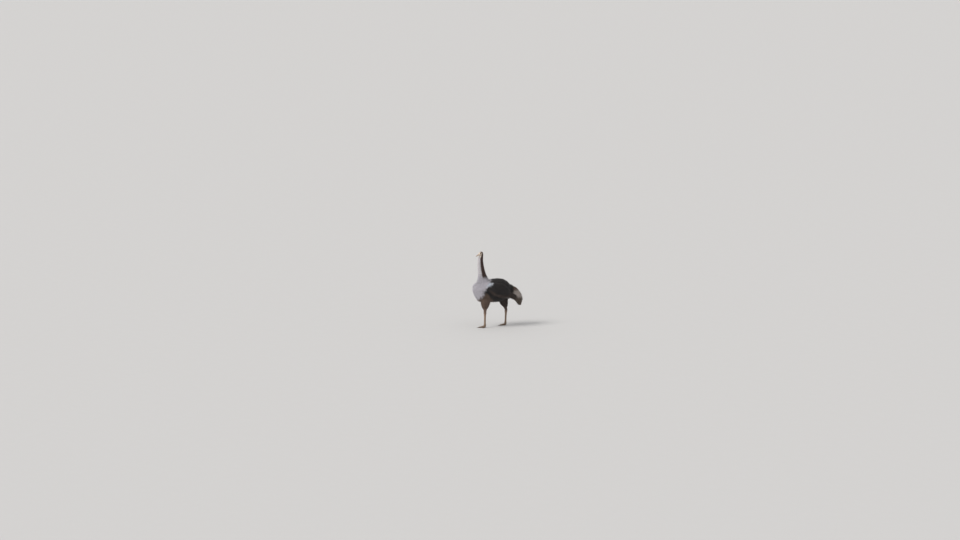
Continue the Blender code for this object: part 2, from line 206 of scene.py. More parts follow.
def grid_quads(rows, columns, closed=False):
    """The faces of a grid of corners, where a closed grid's last column meets its first."""
    quads = []
    for row in range(rows - 1):
        for column in range(columns if closed else columns - 1):
            after = (column + 1) % columns
            first, second = row * columns, (row + 1) * columns
            quads.append((first + column, second + column, second + after, first + after))
    return quads


def grid_triangles(rows, columns):
    quads = grid_quads(rows, columns)
    return [half for a, b, c, d in quads for half in ((a, d, c), (a, c, b))]


def averaged(values, pairs, rounds, share=0.5):
    """Values at the vertices, each drawn towards the mean of its neighbours."""
    values = values.astype(float)
    flat = values.reshape(len(values), -1).copy()
    ends = np.concatenate([pairs[:, 0], pairs[:, 1]])
    others = np.concatenate([pairs[:, 1], pairs[:, 0]])
    count = np.maximum(np.bincount(ends, minlength=len(flat)), 1)
    for _ in range(rounds):
        for column in range(flat.shape[1]):
            total = np.bincount(ends, flat[others, column], minlength=len(flat))
            flat[:, column] += share * (total / count - flat[:, column])
    return flat.reshape(values.shape)


# ---------------- the places of the body
def middle(node):
    low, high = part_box(node)
    return np.array((low + high) / 2)


def corner_pair(node):
    low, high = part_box(node)
    return np.array(low), np.array(high)


EYES = {word: middle(f"eye_{word}") for word, _ in SIDES}
EYE_RADIUS = (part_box("eye_left")[1].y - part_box("eye_left")[0].y) / 2
HEAD_TURN = np.array(Matrix.Rotation(HEAD_PITCH, 3, "X"))
HEAD_ORIGIN = (EYES["left"] + EYES["right"]) / 2 - HEAD_TURN @ np.array((0, 0, EYE_RISE))
HEAD_LOW = corner_pair("head")[0]
TRUNK_LOW, TRUNK_HIGH = corner_pair("trunk")
TRUNK_MIDDLE = (TRUNK_LOW + TRUNK_HIGH) / 2
TAIL_LOW, TAIL_HIGH = corner_pair("tail")
NECK_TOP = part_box("neck_upper")[1].z
NECK_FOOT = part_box("neck_lower")[0].z
HOCK_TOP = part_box("thigh_left")[0].z
WING_LOW, WING_HIGH = corner_pair("wing_left")


def to_head(points):
    """World points in the head's own frame: eyes at y = 0, beak towards -y."""
    return (points - HEAD_ORIGIN) @ HEAD_TURN


def axis_of(names, heights, reach):
    """The middle of some upright solids at each height, as x and y."""
    spots, _, _ = joined_nodes(names)
    rings = [spots[np.abs(spots[:, 2] - height) < reach, :2] for height in heights]
    return np.array([(ring.min(axis=0) + ring.max(axis=0)) / 2 for ring in rings])


NECK_HEIGHTS = np.linspace(NECK_FOOT + 0.10, NECK_TOP - 0.02, 24)
NECK_CENTRES = axis_of(["neck_lower", "neck_upper"], NECK_HEIGHTS, 0.05)


def neck_centre_y(heights):
    return np.interp(heights, NECK_HEIGHTS, NECK_CENTRES[:, 1])


# ---------------- markings
def shade(red, green, blue):
    """A colour written as it looks, 0 to 255, as linear light."""
    values = np.array((red, green, blue)) / 255
    return np.where(values <= 0.04045, values / 12.92, ((values + 0.055) / 1.055) ** 2.4)


PALE = shade(203, 200, 208)
SHOULDER_WHITE = shade(206, 214, 226)
FORENECK = shade(226, 222, 226)
HINDNECK = shade(74, 50, 44)
FACE = shade(222, 210, 196)
BEAK = shade(172, 148, 128)
EAR = np.array((0.043, -0.014))  # back from the eyes and under the head's own origin
HEAD_SIDE = (0.012, 0.028)  # how far aside the top of the head turns into its flank
EAR_HOLE = 0.0042
BROW_REACH = 0.027  # from the middle of the eye
CROWN = shade(92, 72, 62)
BLACK = shade(30, 26, 26)
FLANK_BROWN = shade(98, 80, 68)
WING_EDGE = shade(60, 49, 44)
TAIL_ROOT = shade(90, 66, 56)
TAIL_PALE = shade(182, 172, 166)
TAIL_TIP = shade(98, 86, 76)
THIGH_BROWN = shade(106, 86, 74)
# The thigh's brown in painted shade, used on the far leg.
THIGH_PAINTED_SHADE = shade(58, 44, 38)
LEG = shade(138, 116, 96)
TOE = shade(112, 94, 78)


def neck_turn(points):
    """The angle round the neck, 0 in front and 180 degrees behind."""
    ahead = neck_centre_y(points[:, 2]) - points[:, 1]
    return np.degrees(np.arctan2(np.abs(points[:, 0]), ahead))


def neck_marks(points):
    """A pale front and a dark stripe behind, which ends over the shoulders."""
    height = points[:, 2]
    turn = neck_turn(points) + wobble(points, 0.10, 3) * 7 + wobble(points, 0.03, 23) * 4
    lower = ramp(height, NECK_FOOT + 0.34, NECK_FOOT + 0.12)
    front = mix(FORENECK, PALE, lower)
    front = mix(front, FACE, ramp(height, HEAD_LOW[2] - 0.10, HEAD_LOW[2] + 0.01))
    stray = 0.02 * wobble(points, 0.06, 22)
    stripe = ramp(turn, 60, 76) * ramp(height + stray, NECK_FOOT + 0.10, NECK_FOOT + 0.19)
    return mix(front, HINDNECK, stripe)


LID_SKIN = shade(150, 124, 108)
# Where the dark nape and crown begin: how far back, at each height from the jaw to the crown.
CROWN_LINE = (
    (-0.045, -0.033, -0.020, 0.010, 0.035, 0.048),
    (0.003, 0.017, 0.036, 0.031, 0.000, -0.016),
)


def head_marks(points):
    """A pale face, a dark crown and nape, browner bare skin round eye, ear and beak, and painted
    shade in the ear hole.
    """
    place = to_head(points)
    side, along, height = np.abs(place[:, 0]), place[:, 1], place[:, 2]
    behind = along - np.interp(height, *CROWN_LINE) + wobble(points, 0.02, 4) * 0.004
    colour = mix(FACE, CROWN, ramp(behind, -0.009, 0.012))
    from_eye = np.hypot(along, height - EYE_RISE) + 0.0015 * wobble(points, 0.012, 19)
    from_ear = np.hypot(along - EAR[0], height - EAR[1])
    flank = ramp(side, *HEAD_SIDE)
    bare = np.maximum(ramp(from_eye, BROW_REACH, 0.019), ramp(from_ear, 0.011, 0.006)) * flank
    fading = ramp(along + 0.002 * wobble(points, 0.010, 20), -0.040, -0.061)
    colour = mix(colour, LID_SKIN, bare * 0.75)
    colour = mix(colour, BEAK, fading)
    # Painted shade inside the ear hole.
    ear_hole_shade = ramp(from_ear, 0.0050, 0.0030) * flank
    return colour * (1 - 0.75 * ear_hole_shade)[:, None]


FLANK_FRONT = TRUNK_LOW[1] + 0.327
# The middle of the white wedge on each shoulder, and how far it reaches.
SHOULDER = np.array((0.20, TRUNK_LOW[1] + 0.42, TRUNK_HIGH[2] - 0.12))
SHOULDER_REACH = (0.14, 0.085, 0.085)
# The brown of the belly ends at a height that falls towards the tail, between two limits.
BELLY_TOP = 1.040
BELLY_FALL = 1.25
BELLY_LIMITS = (0.745, 1.000)
# Heights on the tail between which its brown root and its dark tips fade in.
TAIL_ROOT_FADE = (1.00, 1.055)
TAIL_TIP_FADE = (0.85, 0.79)
# How far back from the front of the breast the pale plumage reaches at each height.
BREAST_EDGE = (
    (0.73, 0.79, 0.85, 0.91, 0.97, 1.08, 1.17, 1.22, 1.27, 1.39),
    (0.125, 0.125, 0.135, 0.195, 0.238, 0.245, 0.295, 0.400, 0.475, 0.500),
)


def ragged(points):
    """How far the edges between the body's colours stray at each point."""
    return wobble(points, 0.11, 5) * 0.020 + wobble(points, 0.04, 6) * 0.010


def pale_front(points):
    """1 on the pale breast and shoulders, and 0 behind their edge."""
    edge = TRUNK_LOW[1] + np.interp(points[:, 2], *BREAST_EDGE)
    return ramp(points[:, 1] + ragged(points), edge + 0.020, edge - 0.020)


def front_colour(points):
    """The pale plumage, which is whitest in a wedge at the top of each shoulder."""
    offset = np.column_stack([np.abs(points[:, 0]), points[:, 1:]]) - SHOULDER
    wedge = np.exp(-np.sum((offset / SHOULDER_REACH) ** 2, axis=1))
    return mix(PALE, SHOULDER_WHITE, np.clip(wedge * 1.3, 0, 1))


def dark_coat(points):
    """Black over the back, and brown below a line that falls along the flank."""
    along, height = points[:, 1], points[:, 2]
    line = np.clip(BELLY_TOP - BELLY_FALL * (along - FLANK_FRONT), *BELLY_LIMITS)
    flank = ramp(height + ragged(points), line + 0.025, line - 0.025)
    flank = flank * ramp(along, TRUNK_MIDDLE[1] + 0.30, TRUNK_MIDDLE[1] + 0.10)
    return mix(BLACK, FLANK_BROWN, flank)


def trunk_marks(points):
    return mix(dark_coat(points), front_colour(points), pale_front(points))


# The height of the folded wing's lower edge over its lowest point, at shares of its length.
WING_FLOOR = ((0.0, 0.12, 0.30, 0.45, 0.85, 1.0), (0.26, 0.17, 0.09, 0.03, 0.015, 0.05))


def wing_edge_share(points):
    """1 along the lower and hind edge of the folded wing."""
    stray = wobble(points, 0.08, 7) * 0.012
    along = (points[:, 1] - WING_LOW[1]) / (WING_HIGH[1] - WING_LOW[1])
    over = points[:, 2] - WING_LOW[2] - np.interp(along, *WING_FLOOR) + stray
    return np.maximum(ramp(over, 0.095, 0.055), ramp(along + stray, 0.80, 0.97))


def wing_marks(points):
    dark = mix(dark_coat(points), WING_EDGE, wing_edge_share(points))
    return mix(dark, front_colour(points), pale_front(points))


def tail_marks(points):
    """A brown root, pale plumes and dark tips, and black where the tail meets the back."""
    height = points[:, 2] + wobble(points, 0.07, 8) * 0.022
    upper = mix(TAIL_PALE, TAIL_ROOT, ramp(height, *TAIL_ROOT_FADE))
    upper = mix(upper, BLACK, ramp(points[:, 1], TAIL_LOW[1] + 0.09, TAIL_LOW[1]))
    return mix(upper, TAIL_TIP, ramp(height, *TAIL_TIP_FADE))


def thigh_marks(points):
    """Brown, with painted shade that darkens the trailing leg, the right one, which is the far one
    from the camera.
    """
    far_leg_shade = ramp(points[:, 0], 0.03, -0.03) * ramp(points[:, 2], HOCK_TOP - 0.08, HOCK_TOP + 0.08)
    return mix(THIGH_BROWN, THIGH_PAINTED_SHADE, far_leg_shade)


def leg_marks(points):
    """The shank's brown, which is darker on the toes and takes the thigh's colour, with its painted
    shade, at the hock.
    """
    colour = mix(LEG, TOE, ramp(points[:, 2], 0.12, 0.04))
    return mix(colour, thigh_marks(points), ramp(points[:, 2], HOCK_TOP - 0.08, HOCK_TOP))


MARKS = {
    "trunk": trunk_marks,
    "wing": wing_marks,
    "tail": tail_marks,
    "neck_lower": neck_marks,
    "neck_upper": neck_marks,
    "head": head_marks,
    "thigh": thigh_marks,
    "shank": leg_marks,
    "toe": leg_marks,
}


def markings(points, kinds):
    """The colour of the bird at each point, from the kind of body part that it belongs to."""
    colours = np.zeros((len(points), 3))
    for kind in sorted(set(kinds)):
        chosen = kinds == kind
        colours[chosen] = MARKS[kind](points[chosen])
    return colours


def paint(mesh, colours):
    layer = mesh.color_attributes.new("mark", "FLOAT_COLOR", "POINT")
    values = np.ones((len(colours), 4), np.float32)
    values[:, :3] = colours
    layer.data.foreach_set("color", values.ravel())


# ---------------- the skin
NECK_SEAM = HEAD_LOW[2] - 0.045
LEG_SEAM = HOCK_TOP + 0.030
SEAM_GAP = 0.003
SEAM_REACH = 0.030
THROAT_DEPTH = 0.004  # the coat's depth where the neck meets the head
BODY_VOXEL = 0.0120
HEAD_VOXEL = 0.0017
LEG_VOXEL = 0.0042
node_spots, node_faces, node_owners = joined_nodes(FLESH)
NODE_TREE = tree_of(node_spots, node_faces)
FACE_KIND = np.array([node_kind(name) for name in node_owners])


def kinds_at(points):
    _, _, faces = nearest(NODE_TREE, points)
    return FACE_KIND[faces]


def depth_at(points, kinds):
    """The coat's depth, which thins up the neck."""
    depth = np.array([COAT_DEPTH[kind] for kind in kinds])
    upper = COAT_DEPTH["neck_upper"]
    share = ramp(points[:, 2], NECK_SEAM - 0.30, NECK_FOOT)
    lower_neck = upper + (COAT_DEPTH["trunk"] - upper) * share**2
    depth = np.where(kinds == "neck_lower", lower_neck, depth)
    share = ramp(points[:, 2], NECK_SEAM - 0.12, NECK_SEAM + 0.03)
    upper_neck = upper * (1 - share) + THROAT_DEPTH * share
    return np.where(kinds == "neck_upper", upper_neck, depth)


def room_inward(tree, points, normals):
    """How thick the body is straight in from each point."""
    found = np.full(len(points), 1.0)
    starts = points - normals * 0.002
    for i, (start, heading) in enumerate(zip(starts.tolist(), (-normals).tolist())):
        distance = tree.ray_cast(start, heading)[3]
        if distance is not None:
            found[i] = distance + 0.002
    return found


def sink(mesh, rounds):
    """Moves a fused surface in by the coat's depth, which turns smoothly from part to part."""
    spots, faces = mesh_arrays(mesh)
    pairs = edge_pairs(mesh)
    normals = averaged(vertex_normals(mesh), pairs, 3)
    depth = averaged(depth_at(spots, kinds_at(spots)), pairs, rounds)
    thickness = averaged(room_inward(tree_of(spots, faces), spots, normals), pairs, 4)
    depth = np.minimum(depth, 0.33 * thickness)
    moved = averaged(spots - unit(normals) * depth[:, None], pairs, 3)
    move_to(mesh, moved)


def keep_between(mesh, low, high):
    """Cuts a mesh off below low and above high, and gives it back as a bmesh."""
    work = bmesh.new()
    work.from_mesh(mesh)
    for height, heading in ((low, -1), (high, 1)):
        if height is None:
            continue
        plane = {"plane_co": (0, 0, height), "plane_no": (0, 0, heading)}
        everything = work.verts[:] + work.edges[:] + work.faces[:]
        bmesh.ops.bisect_plane(work, geom=everything, clear_outer=True, **plane)
    bpy.data.meshes.remove(mesh)
    return work


def add_to(work, other):
    """Adds one bmesh to another."""
    carried = bpy.data.meshes.new("carried")
    other.to_mesh(carried)
    work.from_mesh(carried)
    bpy.data.meshes.remove(carried)
    other.free()


def close_seam(work, height, side):
    """Joins the two open rims at a height, on one side of the body, or on both with side 0."""
    rims = []
    for edge in work.edges:
        spot = (edge.verts[0].co + edge.verts[1].co) / 2
        on_side = side == 0 or spot.x * side > 0
        if edge.is_boundary and abs(spot.z - height) < 2 * SEAM_GAP and on_side:
            rims.append(edge)
    bmesh.ops.bridge_loops(work, edges=rims)


def eye_bulges():
    """Balls a little larger than the eyes, which the skin covers before the lids open."""
    balls = []
    for word, _ in SIDES:
        work = bmesh.new()
        ball = bmesh.ops.create_icosphere(work, subdivisions=4, radius=EYE_RADIUS + 0.0022)
        work.verts.index_update()
        spots = np.array([vertex.co for vertex in ball["verts"]]) + EYES[word]
        faces = np.array([[vertex.index for vertex in face.verts] for face in work.faces])
        balls.append((spots, faces, np.full(len(faces), "eye")))
        work.free()
    return balls


def fused_skin():
    """Body, head and legs, each fused as finely as it needs, and joined at the seams."""
    legs = [name for name in FLESH if name.startswith(("thigh", "shank", "toe"))]
    body = fused([name for name in FLESH if not name.startswith("toe")], BODY_VOXEL, 8)
    sink(body, 12)
    head = fused(["head", "neck_upper"], HEAD_VOXEL, 16, eye_bulges())
    sink(head, 14)
    feet = fused(legs, LEG_VOXEL, 5)
    sink(feet, 6)
    skin = keep_between(body, LEG_SEAM + SEAM_GAP, NECK_SEAM - SEAM_GAP)
    add_to(skin, keep_between(head, NECK_SEAM, None))
    add_to(skin, keep_between(feet, None, LEG_SEAM))
    close_seam(skin, NECK_SEAM, 0)
    for _, side in SIDES:
        close_seam(skin, LEG_SEAM, side)
    bmesh.ops.recalc_face_normals(skin, faces=skin.faces)
    return skin


BILL_PLACES = to_head(joined_nodes(["beak_lower"])[0])
MOUTH_CORNER = BILL_PLACES.max(axis=0) * (0, 1, 1)  # in the head's own frame
GAPE_END = MOUTH_CORNER + (0.0, 0.050, -0.0035)


def needs_detail(spot):
    """True round the eyes, the ears and the line of the mouth."""
    if spot.z < NECK_SEAM:
        return False
    place = to_head(np.array(spot))
    near_eye = min((spot - Vector(eye)).length for eye in EYES.values()) < 0.031
    in_length = MOUTH_CORNER[1] - 0.004 < place[1] < GAPE_END[1] + 0.006
    near_gape = in_length and abs(place[2] - MOUTH_CORNER[2]) < 0.009
    near_ear = math.hypot(place[1] - EAR[0], place[2] - EAR[1]) < 0.010 and abs(place[0]) > 0.020
    return near_eye or near_gape or near_ear


def refine_face(skin):
    """Halves the faces where the head needs detail, so that lids and gape are crisp."""
    edges = [edge for edge in skin.edges if all(needs_detail(end.co) for end in edge.verts)]
    bmesh.ops.subdivide_edges(skin, edges=edges, cuts=1, use_grid_fill=True)


LID_HALF_WIDTH = math.radians(47)
LID_HALF_HEIGHT = math.radians(35)
LID_POINTEDNESS = 1.55  # 2 is an oval opening, and less draws its corners out
LID_TILT = math.radians(-7)
LID_EDGE = 0.0019  # how far the lids' margins stand over the eyeball
LID_REACH = 0.0012  # the same for the skin round them
GAZE_AHEAD = math.radians(12)  # how far the eyes look ahead of straight out


def eye_axes(side):
    """The eye's own directions: out of the head, back along it and up."""
    out = np.array((side * math.cos(GAZE_AHEAD), -math.sin(GAZE_AHEAD), 0.04))
    out = HEAD_TURN @ unit(out)
    back = HEAD_TURN @ np.array((0.0, 1.0, 0.0))
    back = unit(back - out * (back @ out))
    up = np.cross(out, back) * side
    return out, back, unit(up)


def eye_headings(axes, turn, angle):
    """Directions at an angle from the gaze, and those straight away from it, at each turn."""
    out, back, up = axes
    around = np.cos(turn)[:, None] * back + np.sin(turn)[:, None] * up
    return np.cos(angle)[:, None] * out + np.sin(angle)[:, None] * around, around


def lid_angle(turn):
    """How far from the gaze the lids' margin is, at each turn round the eye."""
    across = (np.abs(np.cos(turn - LID_TILT)) / LID_HALF_WIDTH) ** LID_POINTEDNESS
    along = (np.abs(np.sin(turn - LID_TILT)) / LID_HALF_HEIGHT) ** LID_POINTEDNESS
    return (across + along) ** (-1 / LID_POINTEDNESS)


def form_lids(spots, side, word):
    """Lays the skin over the eyeball as two lids with an open almond between them."""
    axes = eye_axes(side)
    out, back, up = axes
    offset = spots - EYES[word]
    reach = np.linalg.norm(offset, axis=1)
    near = np.flatnonzero((reach < 0.036) & (offset @ out > -0.004))
    local, current = offset[near], reach[near]
    turn = np.arctan2(local @ up, local @ back)
    angle = np.arccos(np.clip((local @ out) / current, -1, 1))
    margin = lid_angle(turn)
    almond = angle / margin
    on_margin = np.abs(almond - 1.0) < 0.035
    angle = np.where(on_margin, margin, angle)
    almond = np.where(on_margin, 1.0, almond)
    heading, _ = eye_headings(axes, turn, angle)
    crease = 0.0008 * np.sin((almond - 1.0) * 34) * ramp(almond, 1.10, 1.20)
    crease = crease * ramp(almond, 1.62, 1.45)
    rim = LID_REACH + (LID_EDGE - LID_REACH) * ramp(almond, 1.22, 1.06)
    radius = np.maximum(current, EYE_RADIUS + rim) + crease
    radius = np.where(almond < 0.985, EYE_RADIUS - 0.0030, radius)
    spots[near] = EYES[word] + heading * radius[:, None]


def groove(points, start, end, width):
    """1 on a straight line between two places, falling to 0 away from it."""
    start, end = np.array(start), np.array(end)
    run = end - start
    share = np.clip((points - start) @ run / (run @ run), 0, 1)
    distance = np.linalg.norm(points - start - share[:, None] * run, axis=1)
    return np.exp(-((distance / width) ** 2))


def gape_relief(place):
    """The mouth's line, which runs back from the beak's corner to beneath the eye."""
    level, lip = place * (0, 1, 1), np.array((0, 0, 0.0034))
    share = ramp(place[:, 1], GAPE_END[1], GAPE_END[1] - 0.020)
    lips = sum(groove(level + shift, MOUTH_CORNER, GAPE_END, 0.0020) for shift in (lip, -lip))
    line = groove(level, MOUTH_CORNER, GAPE_END, 0.0012)
    return (0.0012 * lips - 0.0036 * line) * (0.35 + 0.65 * share)


CERE_START = -0.0585
CERE_LAP = 0.0050  # how far the skin laps over the base of the beak
CERE_RISE = COAT_DEPTH["head"] + 0.0008


def head_relief(place):
    """How far the head's skin stands out at each place in the head's own frame."""
    side, along, height = np.abs(place[:, 0]), place[:, 1], place[:, 2]
    flank = ramp(side, *HEAD_SIDE)
    from_eye = np.hypot(along, height - EYE_RISE)
    over_eye = ramp(height, EYE_RISE + 0.004, EYE_RISE + 0.016)
    relief = 0.0034 * bump(from_eye, BROW_REACH, 0.011) * over_eye * flank
    relief -= 0.0013 * bump(from_eye, 0.037, 0.006) * flank
    from_ear = np.hypot(along - EAR[0], (height - EAR[1]) * 1.15)
    relief -= 0.0090 * np.exp(-((from_ear / EAR_HOLE) ** 4)) * flank
    relief += 0.0012 * bump(from_ear, 0.0074, 0.0030) * flank
    jaw = ramp(height, -0.020, -0.034) * ramp(along, 0.05, 0.02)
    relief += 0.0007 * np.sin(side * 900 + along * 120) * jaw
    crease = np.sin(from_eye * 2300 + 1.5 * wobble(place, 0.020, 16))
    around = ramp(from_eye, 0.030, 0.033) * ramp(from_eye, 0.050, 0.040)
    relief += 0.00045 * crease * around * flank
    cheek = np.sin(height * 1500 + along * 500 + 2.0 * wobble(place, 0.018, 21))
    relief += 0.0003 * cheek * ramp(along, 0.01, -0.02) * ramp(along, -0.058, -0.050) * flank
    crown = ramp(height, 0.028, 0.040)
    relief -= 0.0014 * np.exp(-((side / 0.006) ** 2)) * crown * ramp(along, 0.04, 0.0)
    cere = ramp(along, -0.0440, -0.0580)
    relief += 0.0010 * wobble(place * (1, 1, 1.5), 0.016, 17) * ramp(along, -0.060, -0.040)
    return relief + CERE_RISE * cere


def leg_relief(spots):
    """Muscle, tendon and loose folds on the bare part of the thighs and on the shanks."""
    height = spots[:, 2]
    thigh = ramp(height, HOCK_TOP + 0.02, HOCK_TOP + 0.09)
    plumed = ramp(height, HOCK_TOP + 0.12, HOCK_TOP + 0.20)
    relief = 0.0026 * wobble(spots * (1, 1, 0.45), 0.075, 11) * thigh * (1 - plumed)
    knuckle = ramp(height, HOCK_TOP + 0.055, HOCK_TOP + 0.02) * ramp(height, 0.36, 0.40)
    folds = np.sin(height * 780 + wobble(spots, 0.06, 12) * 2.2)
    return relief + 0.0007 * folds * knuckle


def ease_seams(spots, pairs):
    """Smooths the skin where body, head and legs were joined."""
    leg_seam = bump(spots[:, 2], LEG_SEAM, SEAM_REACH) * (spots[:, 2] < TRUNK_LOW[2])
    seams = np.maximum(bump(spots[:, 2], NECK_SEAM, SEAM_REACH), leg_seam)
    return mix(spots, averaged(spots, pairs, 14), np.clip(seams * 1.5, 0, 1))


def make_skin():
    work = fused_skin()
    refine_face(work)
    mesh = bpy.data.meshes.new("skin")
    work.to_mesh(mesh)
    work.free()
    mesh.update()
    pairs = edge_pairs(mesh)
    spots = ease_seams(mesh_arrays(mesh)[0], pairs)
    kinds = kinds_at(spots)
    normals = unit(averaged(vertex_normals(mesh), pairs, 2))
    head = spots[:, 2] > NECK_SEAM + 0.02
    place = to_head(spots)
    relief = np.where(head, head_relief(place) + gape_relief(place), 0.0)
    bare = np.isin(kinds, ("thigh", "shank")) & (spots[:, 2] < TRUNK_LOW[2] + 0.10)
    relief = relief + np.where(bare, leg_relief(spots), 0.0)
    spots = spots + normals * relief[:, None]
    for word, side in SIDES:
        form_lids(spots, side, word)
    front = head & (place[:, 1] < CERE_START)
    spots[front] -= HEAD_TURN @ (0.0, CERE_LAP, 0.0)
    spots[:, 2] = np.maximum(spots[:, 2], 0.0)
    move_to(mesh, spots)
    # The tone is random mottling, with painted shade along the line of the mouth.
    line = groove(to_head(spots) * (0, 1, 1), MOUTH_CORNER, GAPE_END, 0.0010) * head
    tone = (1 + 0.10 * wobble(spots, 0.03, 13)) * (1 - 0.6 * line)
    paint(mesh, markings(spots, kinds) * tone[:, None])
    mesh.shade_smooth()
    mesh.update()
    return new_piece("skin", mesh)


# ---------------- materials
def add(tree, kind, inputs=None, **settings):
    node = tree.nodes.new(kind)
    for key, value in settings.items():
        setattr(node, key, value)
    for key, value in (inputs or {}).items():
        node.inputs[key].default_value = value
    return node


EVEN = (1, 1, 1)


def pattern(tree, kind, inputs, output, stretch):
    """A solid pattern in the piece's own space, stretched along the axes."""
    place = add(tree, "ShaderNodeTexCoord")
    turn = add(tree, "ShaderNodeMapping", {"Scale": stretch})
    tree.links.new(place.outputs["Object"], turn.inputs["Vector"])
    made = add(tree, kind, inputs)
    tree.links.new(turn.outputs["Vector"], made.inputs["Vector"])
    return made.outputs[output]


def grain(tree, scale, stretch=EVEN):
    """Noise with the given number of lumps in a metre."""
    return pattern(tree, "ShaderNodeTexNoise", {"Scale": scale, "Detail": 4.0}, "Fac", stretch)


def cells(tree, scale, stretch=EVEN):
    """The distance from the middle of small cells, for pimples and fine scales."""
    return pattern(tree, "ShaderNodeTexVoronoi", {"Scale": scale}, "Distance", stretch)


def spread(tree, value, low, high):
    """Noise laid over a range of its own."""
    ends = {"From Min": 0.3, "From Max": 0.7, "To Min": low, "To Max": high}
    node = add(tree, "ShaderNodeMapRange", ends)
    tree.links.new(value, node.inputs["Value"])
    return node.outputs["Result"]


def bumps(tree, reliefs):
    """A chain of bumps, each a height pattern and its depth in metres."""
    normal = None
    for height, depth in reliefs:
        node = add(tree, "ShaderNodeBump", {"Strength": 0.8, "Distance": depth})
        tree.links.new(height, node.inputs["Height"])
        if normal is not None:
            tree.links.new(normal, node.inputs["Normal"])
        normal = node.outputs["Normal"]
    return normal


def new_material(name):
    made = bpy.data.materials.new(name)
    made.use_nodes = True
    return made, made.node_tree, made.node_tree.nodes["Principled BSDF"]


def colour_by(tree, shader, colour, tone):
    """Gives a shader a colour whose brightness follows a tone."""
    shaded = add(tree, "ShaderNodeVectorMath", operation="SCALE")
    tree.links.new(colour, shaded.inputs[0])
    tree.links.new(tone, shaded.inputs["Scale"])
    tree.links.new(shaded.outputs["Vector"], shader.inputs["Base Color"])


def finish_of(name, roughness, mottle, patterns, **sockets):
    """A material that shows a piece's own marks, mottled, with relief and uneven roughness.

    mottle is (lumps in a metre, darkest, lightest), and each pattern is
    (function, lumps in a metre, stretch, depth)."""
    made, tree, shader = new_material(name)
    mark = add(tree, "ShaderNodeAttribute", attribute_name="mark")
    lumps, darkest, lightest = mottle
    tone = spread(tree, grain(tree, lumps), darkest, lightest)
    colour_by(tree, shader, mark.outputs["Color"], tone)
    rough = spread(tree, grain(tree, lumps * 1.7), *roughness)
    tree.links.new(rough, shader.inputs["Roughness"])
    reliefs = [(kind(tree, scale, stretch), depth) for kind, scale, stretch, depth in patterns]
    tree.links.new(bumps(tree, reliefs), shader.inputs["Normal"])
    for socket, value in sockets.items():
        shader.inputs[socket.replace("_", " ")].default_value = value
    return made


PIMPLES = [(grain, 240, EVEN, 0.0012), (cells, 620, EVEN, 0.0006)]
BARBS = [(grain, 900, EVEN, 0.0006)]
PLATES = [(grain, 520, (1, 1, 0.4), 0.0005)]
LAYERS = [(grain, 300, (1, 0.3, 2.0), 0.0004)]
FLESH_GLOW = {"Subsurface_Weight": 0.06, "Subsurface_Radius": (0.008, 0.004, 0.003)}
PALE_SHEEN = {"Sheen_Weight": 0.35, "Sheen_Roughness": 0.45}
DARK_SHEEN = {"Sheen_Weight": 0.06, "Sheen_Roughness": 0.4}
SKIN = finish_of("bare_skin", (0.50, 0.68), (70, 0.86, 1.12), PIMPLES, **FLESH_GLOW)
PLUMAGE = finish_of("plumage", (0.55, 0.78), (46, 0.82, 1.18), BARBS, **PALE_SHEEN)
DARK_PLUMAGE = finish_of("dark_plumage", (0.34, 0.52), (46, 0.70, 1.35), BARBS, **DARK_SHEEN)
SCALE = finish_of("leg_scales", (0.38, 0.56), (120, 0.85, 1.14), PLATES, Coat_Weight=0.08)
HORN = finish_of("horn", (0.26, 0.44), (150, 0.80, 1.16), LAYERS, Coat_Weight=0.25)


def dress(piece, material, slot, *nodes):
    """Gives a piece its material, its body and the nodes that it replaces. slot is not used."""
    piece.data.materials.append(material)
    if nodes:
        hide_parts(*nodes)
    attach(piece, "root")


# ---------------- the bare parts
BEAK_TIP = shade(138, 112, 96)
CLAW = shade(84, 70, 58)
BEAK_VOXELS = {"upper": 0.0010, "lower": 0.0014}
CLAW_VOXEL = 0.0015
BEAK_PLACES = to_head(joined_nodes(["beak_upper"])[0])
BEAK_BACK = BEAK_PLACES[:, 1].max()
BEAK_LENGTH = BEAK_BACK - BEAK_PLACES[:, 1].min()


def beak_share(place):
    """The way along the beak, 0 at its root and 1 at its tip."""
    return (BEAK_BACK - place[:, 1]) / BEAK_LENGTH


def profile_of(measure):
    """A size of the beak against the share of its length, from its own solid."""
    share = beak_share(BEAK_PLACES)
    steps = np.linspace(0.0, 1.0, 9)
    sizes = [measure(BEAK_PLACES[np.abs(share - step) < 0.07]) for step in steps]
    return lambda at: np.interp(at, steps, sizes)


ROOF = profile_of(lambda ring: ring[:, 2].max())
MOUTH = profile_of(lambda ring: ring[:, 2].min())
HALF_WIDTH = profile_of(lambda ring: np.abs(ring[:, 0]).max())
NOSTRIL_PLACE = 0.30
NOSTRIL_HALF_LENGTH = 0.095
NOSTRIL_TURN = math.radians(56)
NOSTRIL_HALF_TURN = math.radians(6)


def beak_relief(place, upper):
    """Nostrils, the ridge of the bill, its nail and the fading of its base under the skin."""
    side, height, share = np.abs(place[:, 0]), place[:, 2], beak_share(place)
    base = -0.0006 * ramp(share, 0.05, 0.0)
    layers = 0.00012 * wobble(place * (0.3, 1, 0.3), 0.011, 18)
    if not upper:
        return base + layers
    nail = 0.0010 * ramp(share, 0.70, 0.75) * ramp(side, 0.011, 0.007)
    ridge = 0.0010 * bump(side, 0.0, 0.0050) * ramp(share, 0.95, 0.70)
    rise = (height - MOUTH(share)) / (ROOF(share) - MOUTH(share))
    turn = np.arctan2(rise, side / HALF_WIDTH(share))
    along = (share - NOSTRIL_PLACE) / NOSTRIL_HALF_LENGTH
    across = (turn - NOSTRIL_TURN) / NOSTRIL_HALF_TURN
    reach = np.hypot(along, across)
    slot = np.exp(-(reach**4))
    rim = 0.0006 * bump(reach, 1.35, 0.35)
    groove_line = 0.0007 * bump(turn, NOSTRIL_TURN, math.radians(9)) * ramp(share, 0.65, 0.40)
    return base + layers + nail + ridge + rim - 0.0026 * slot - groove_line


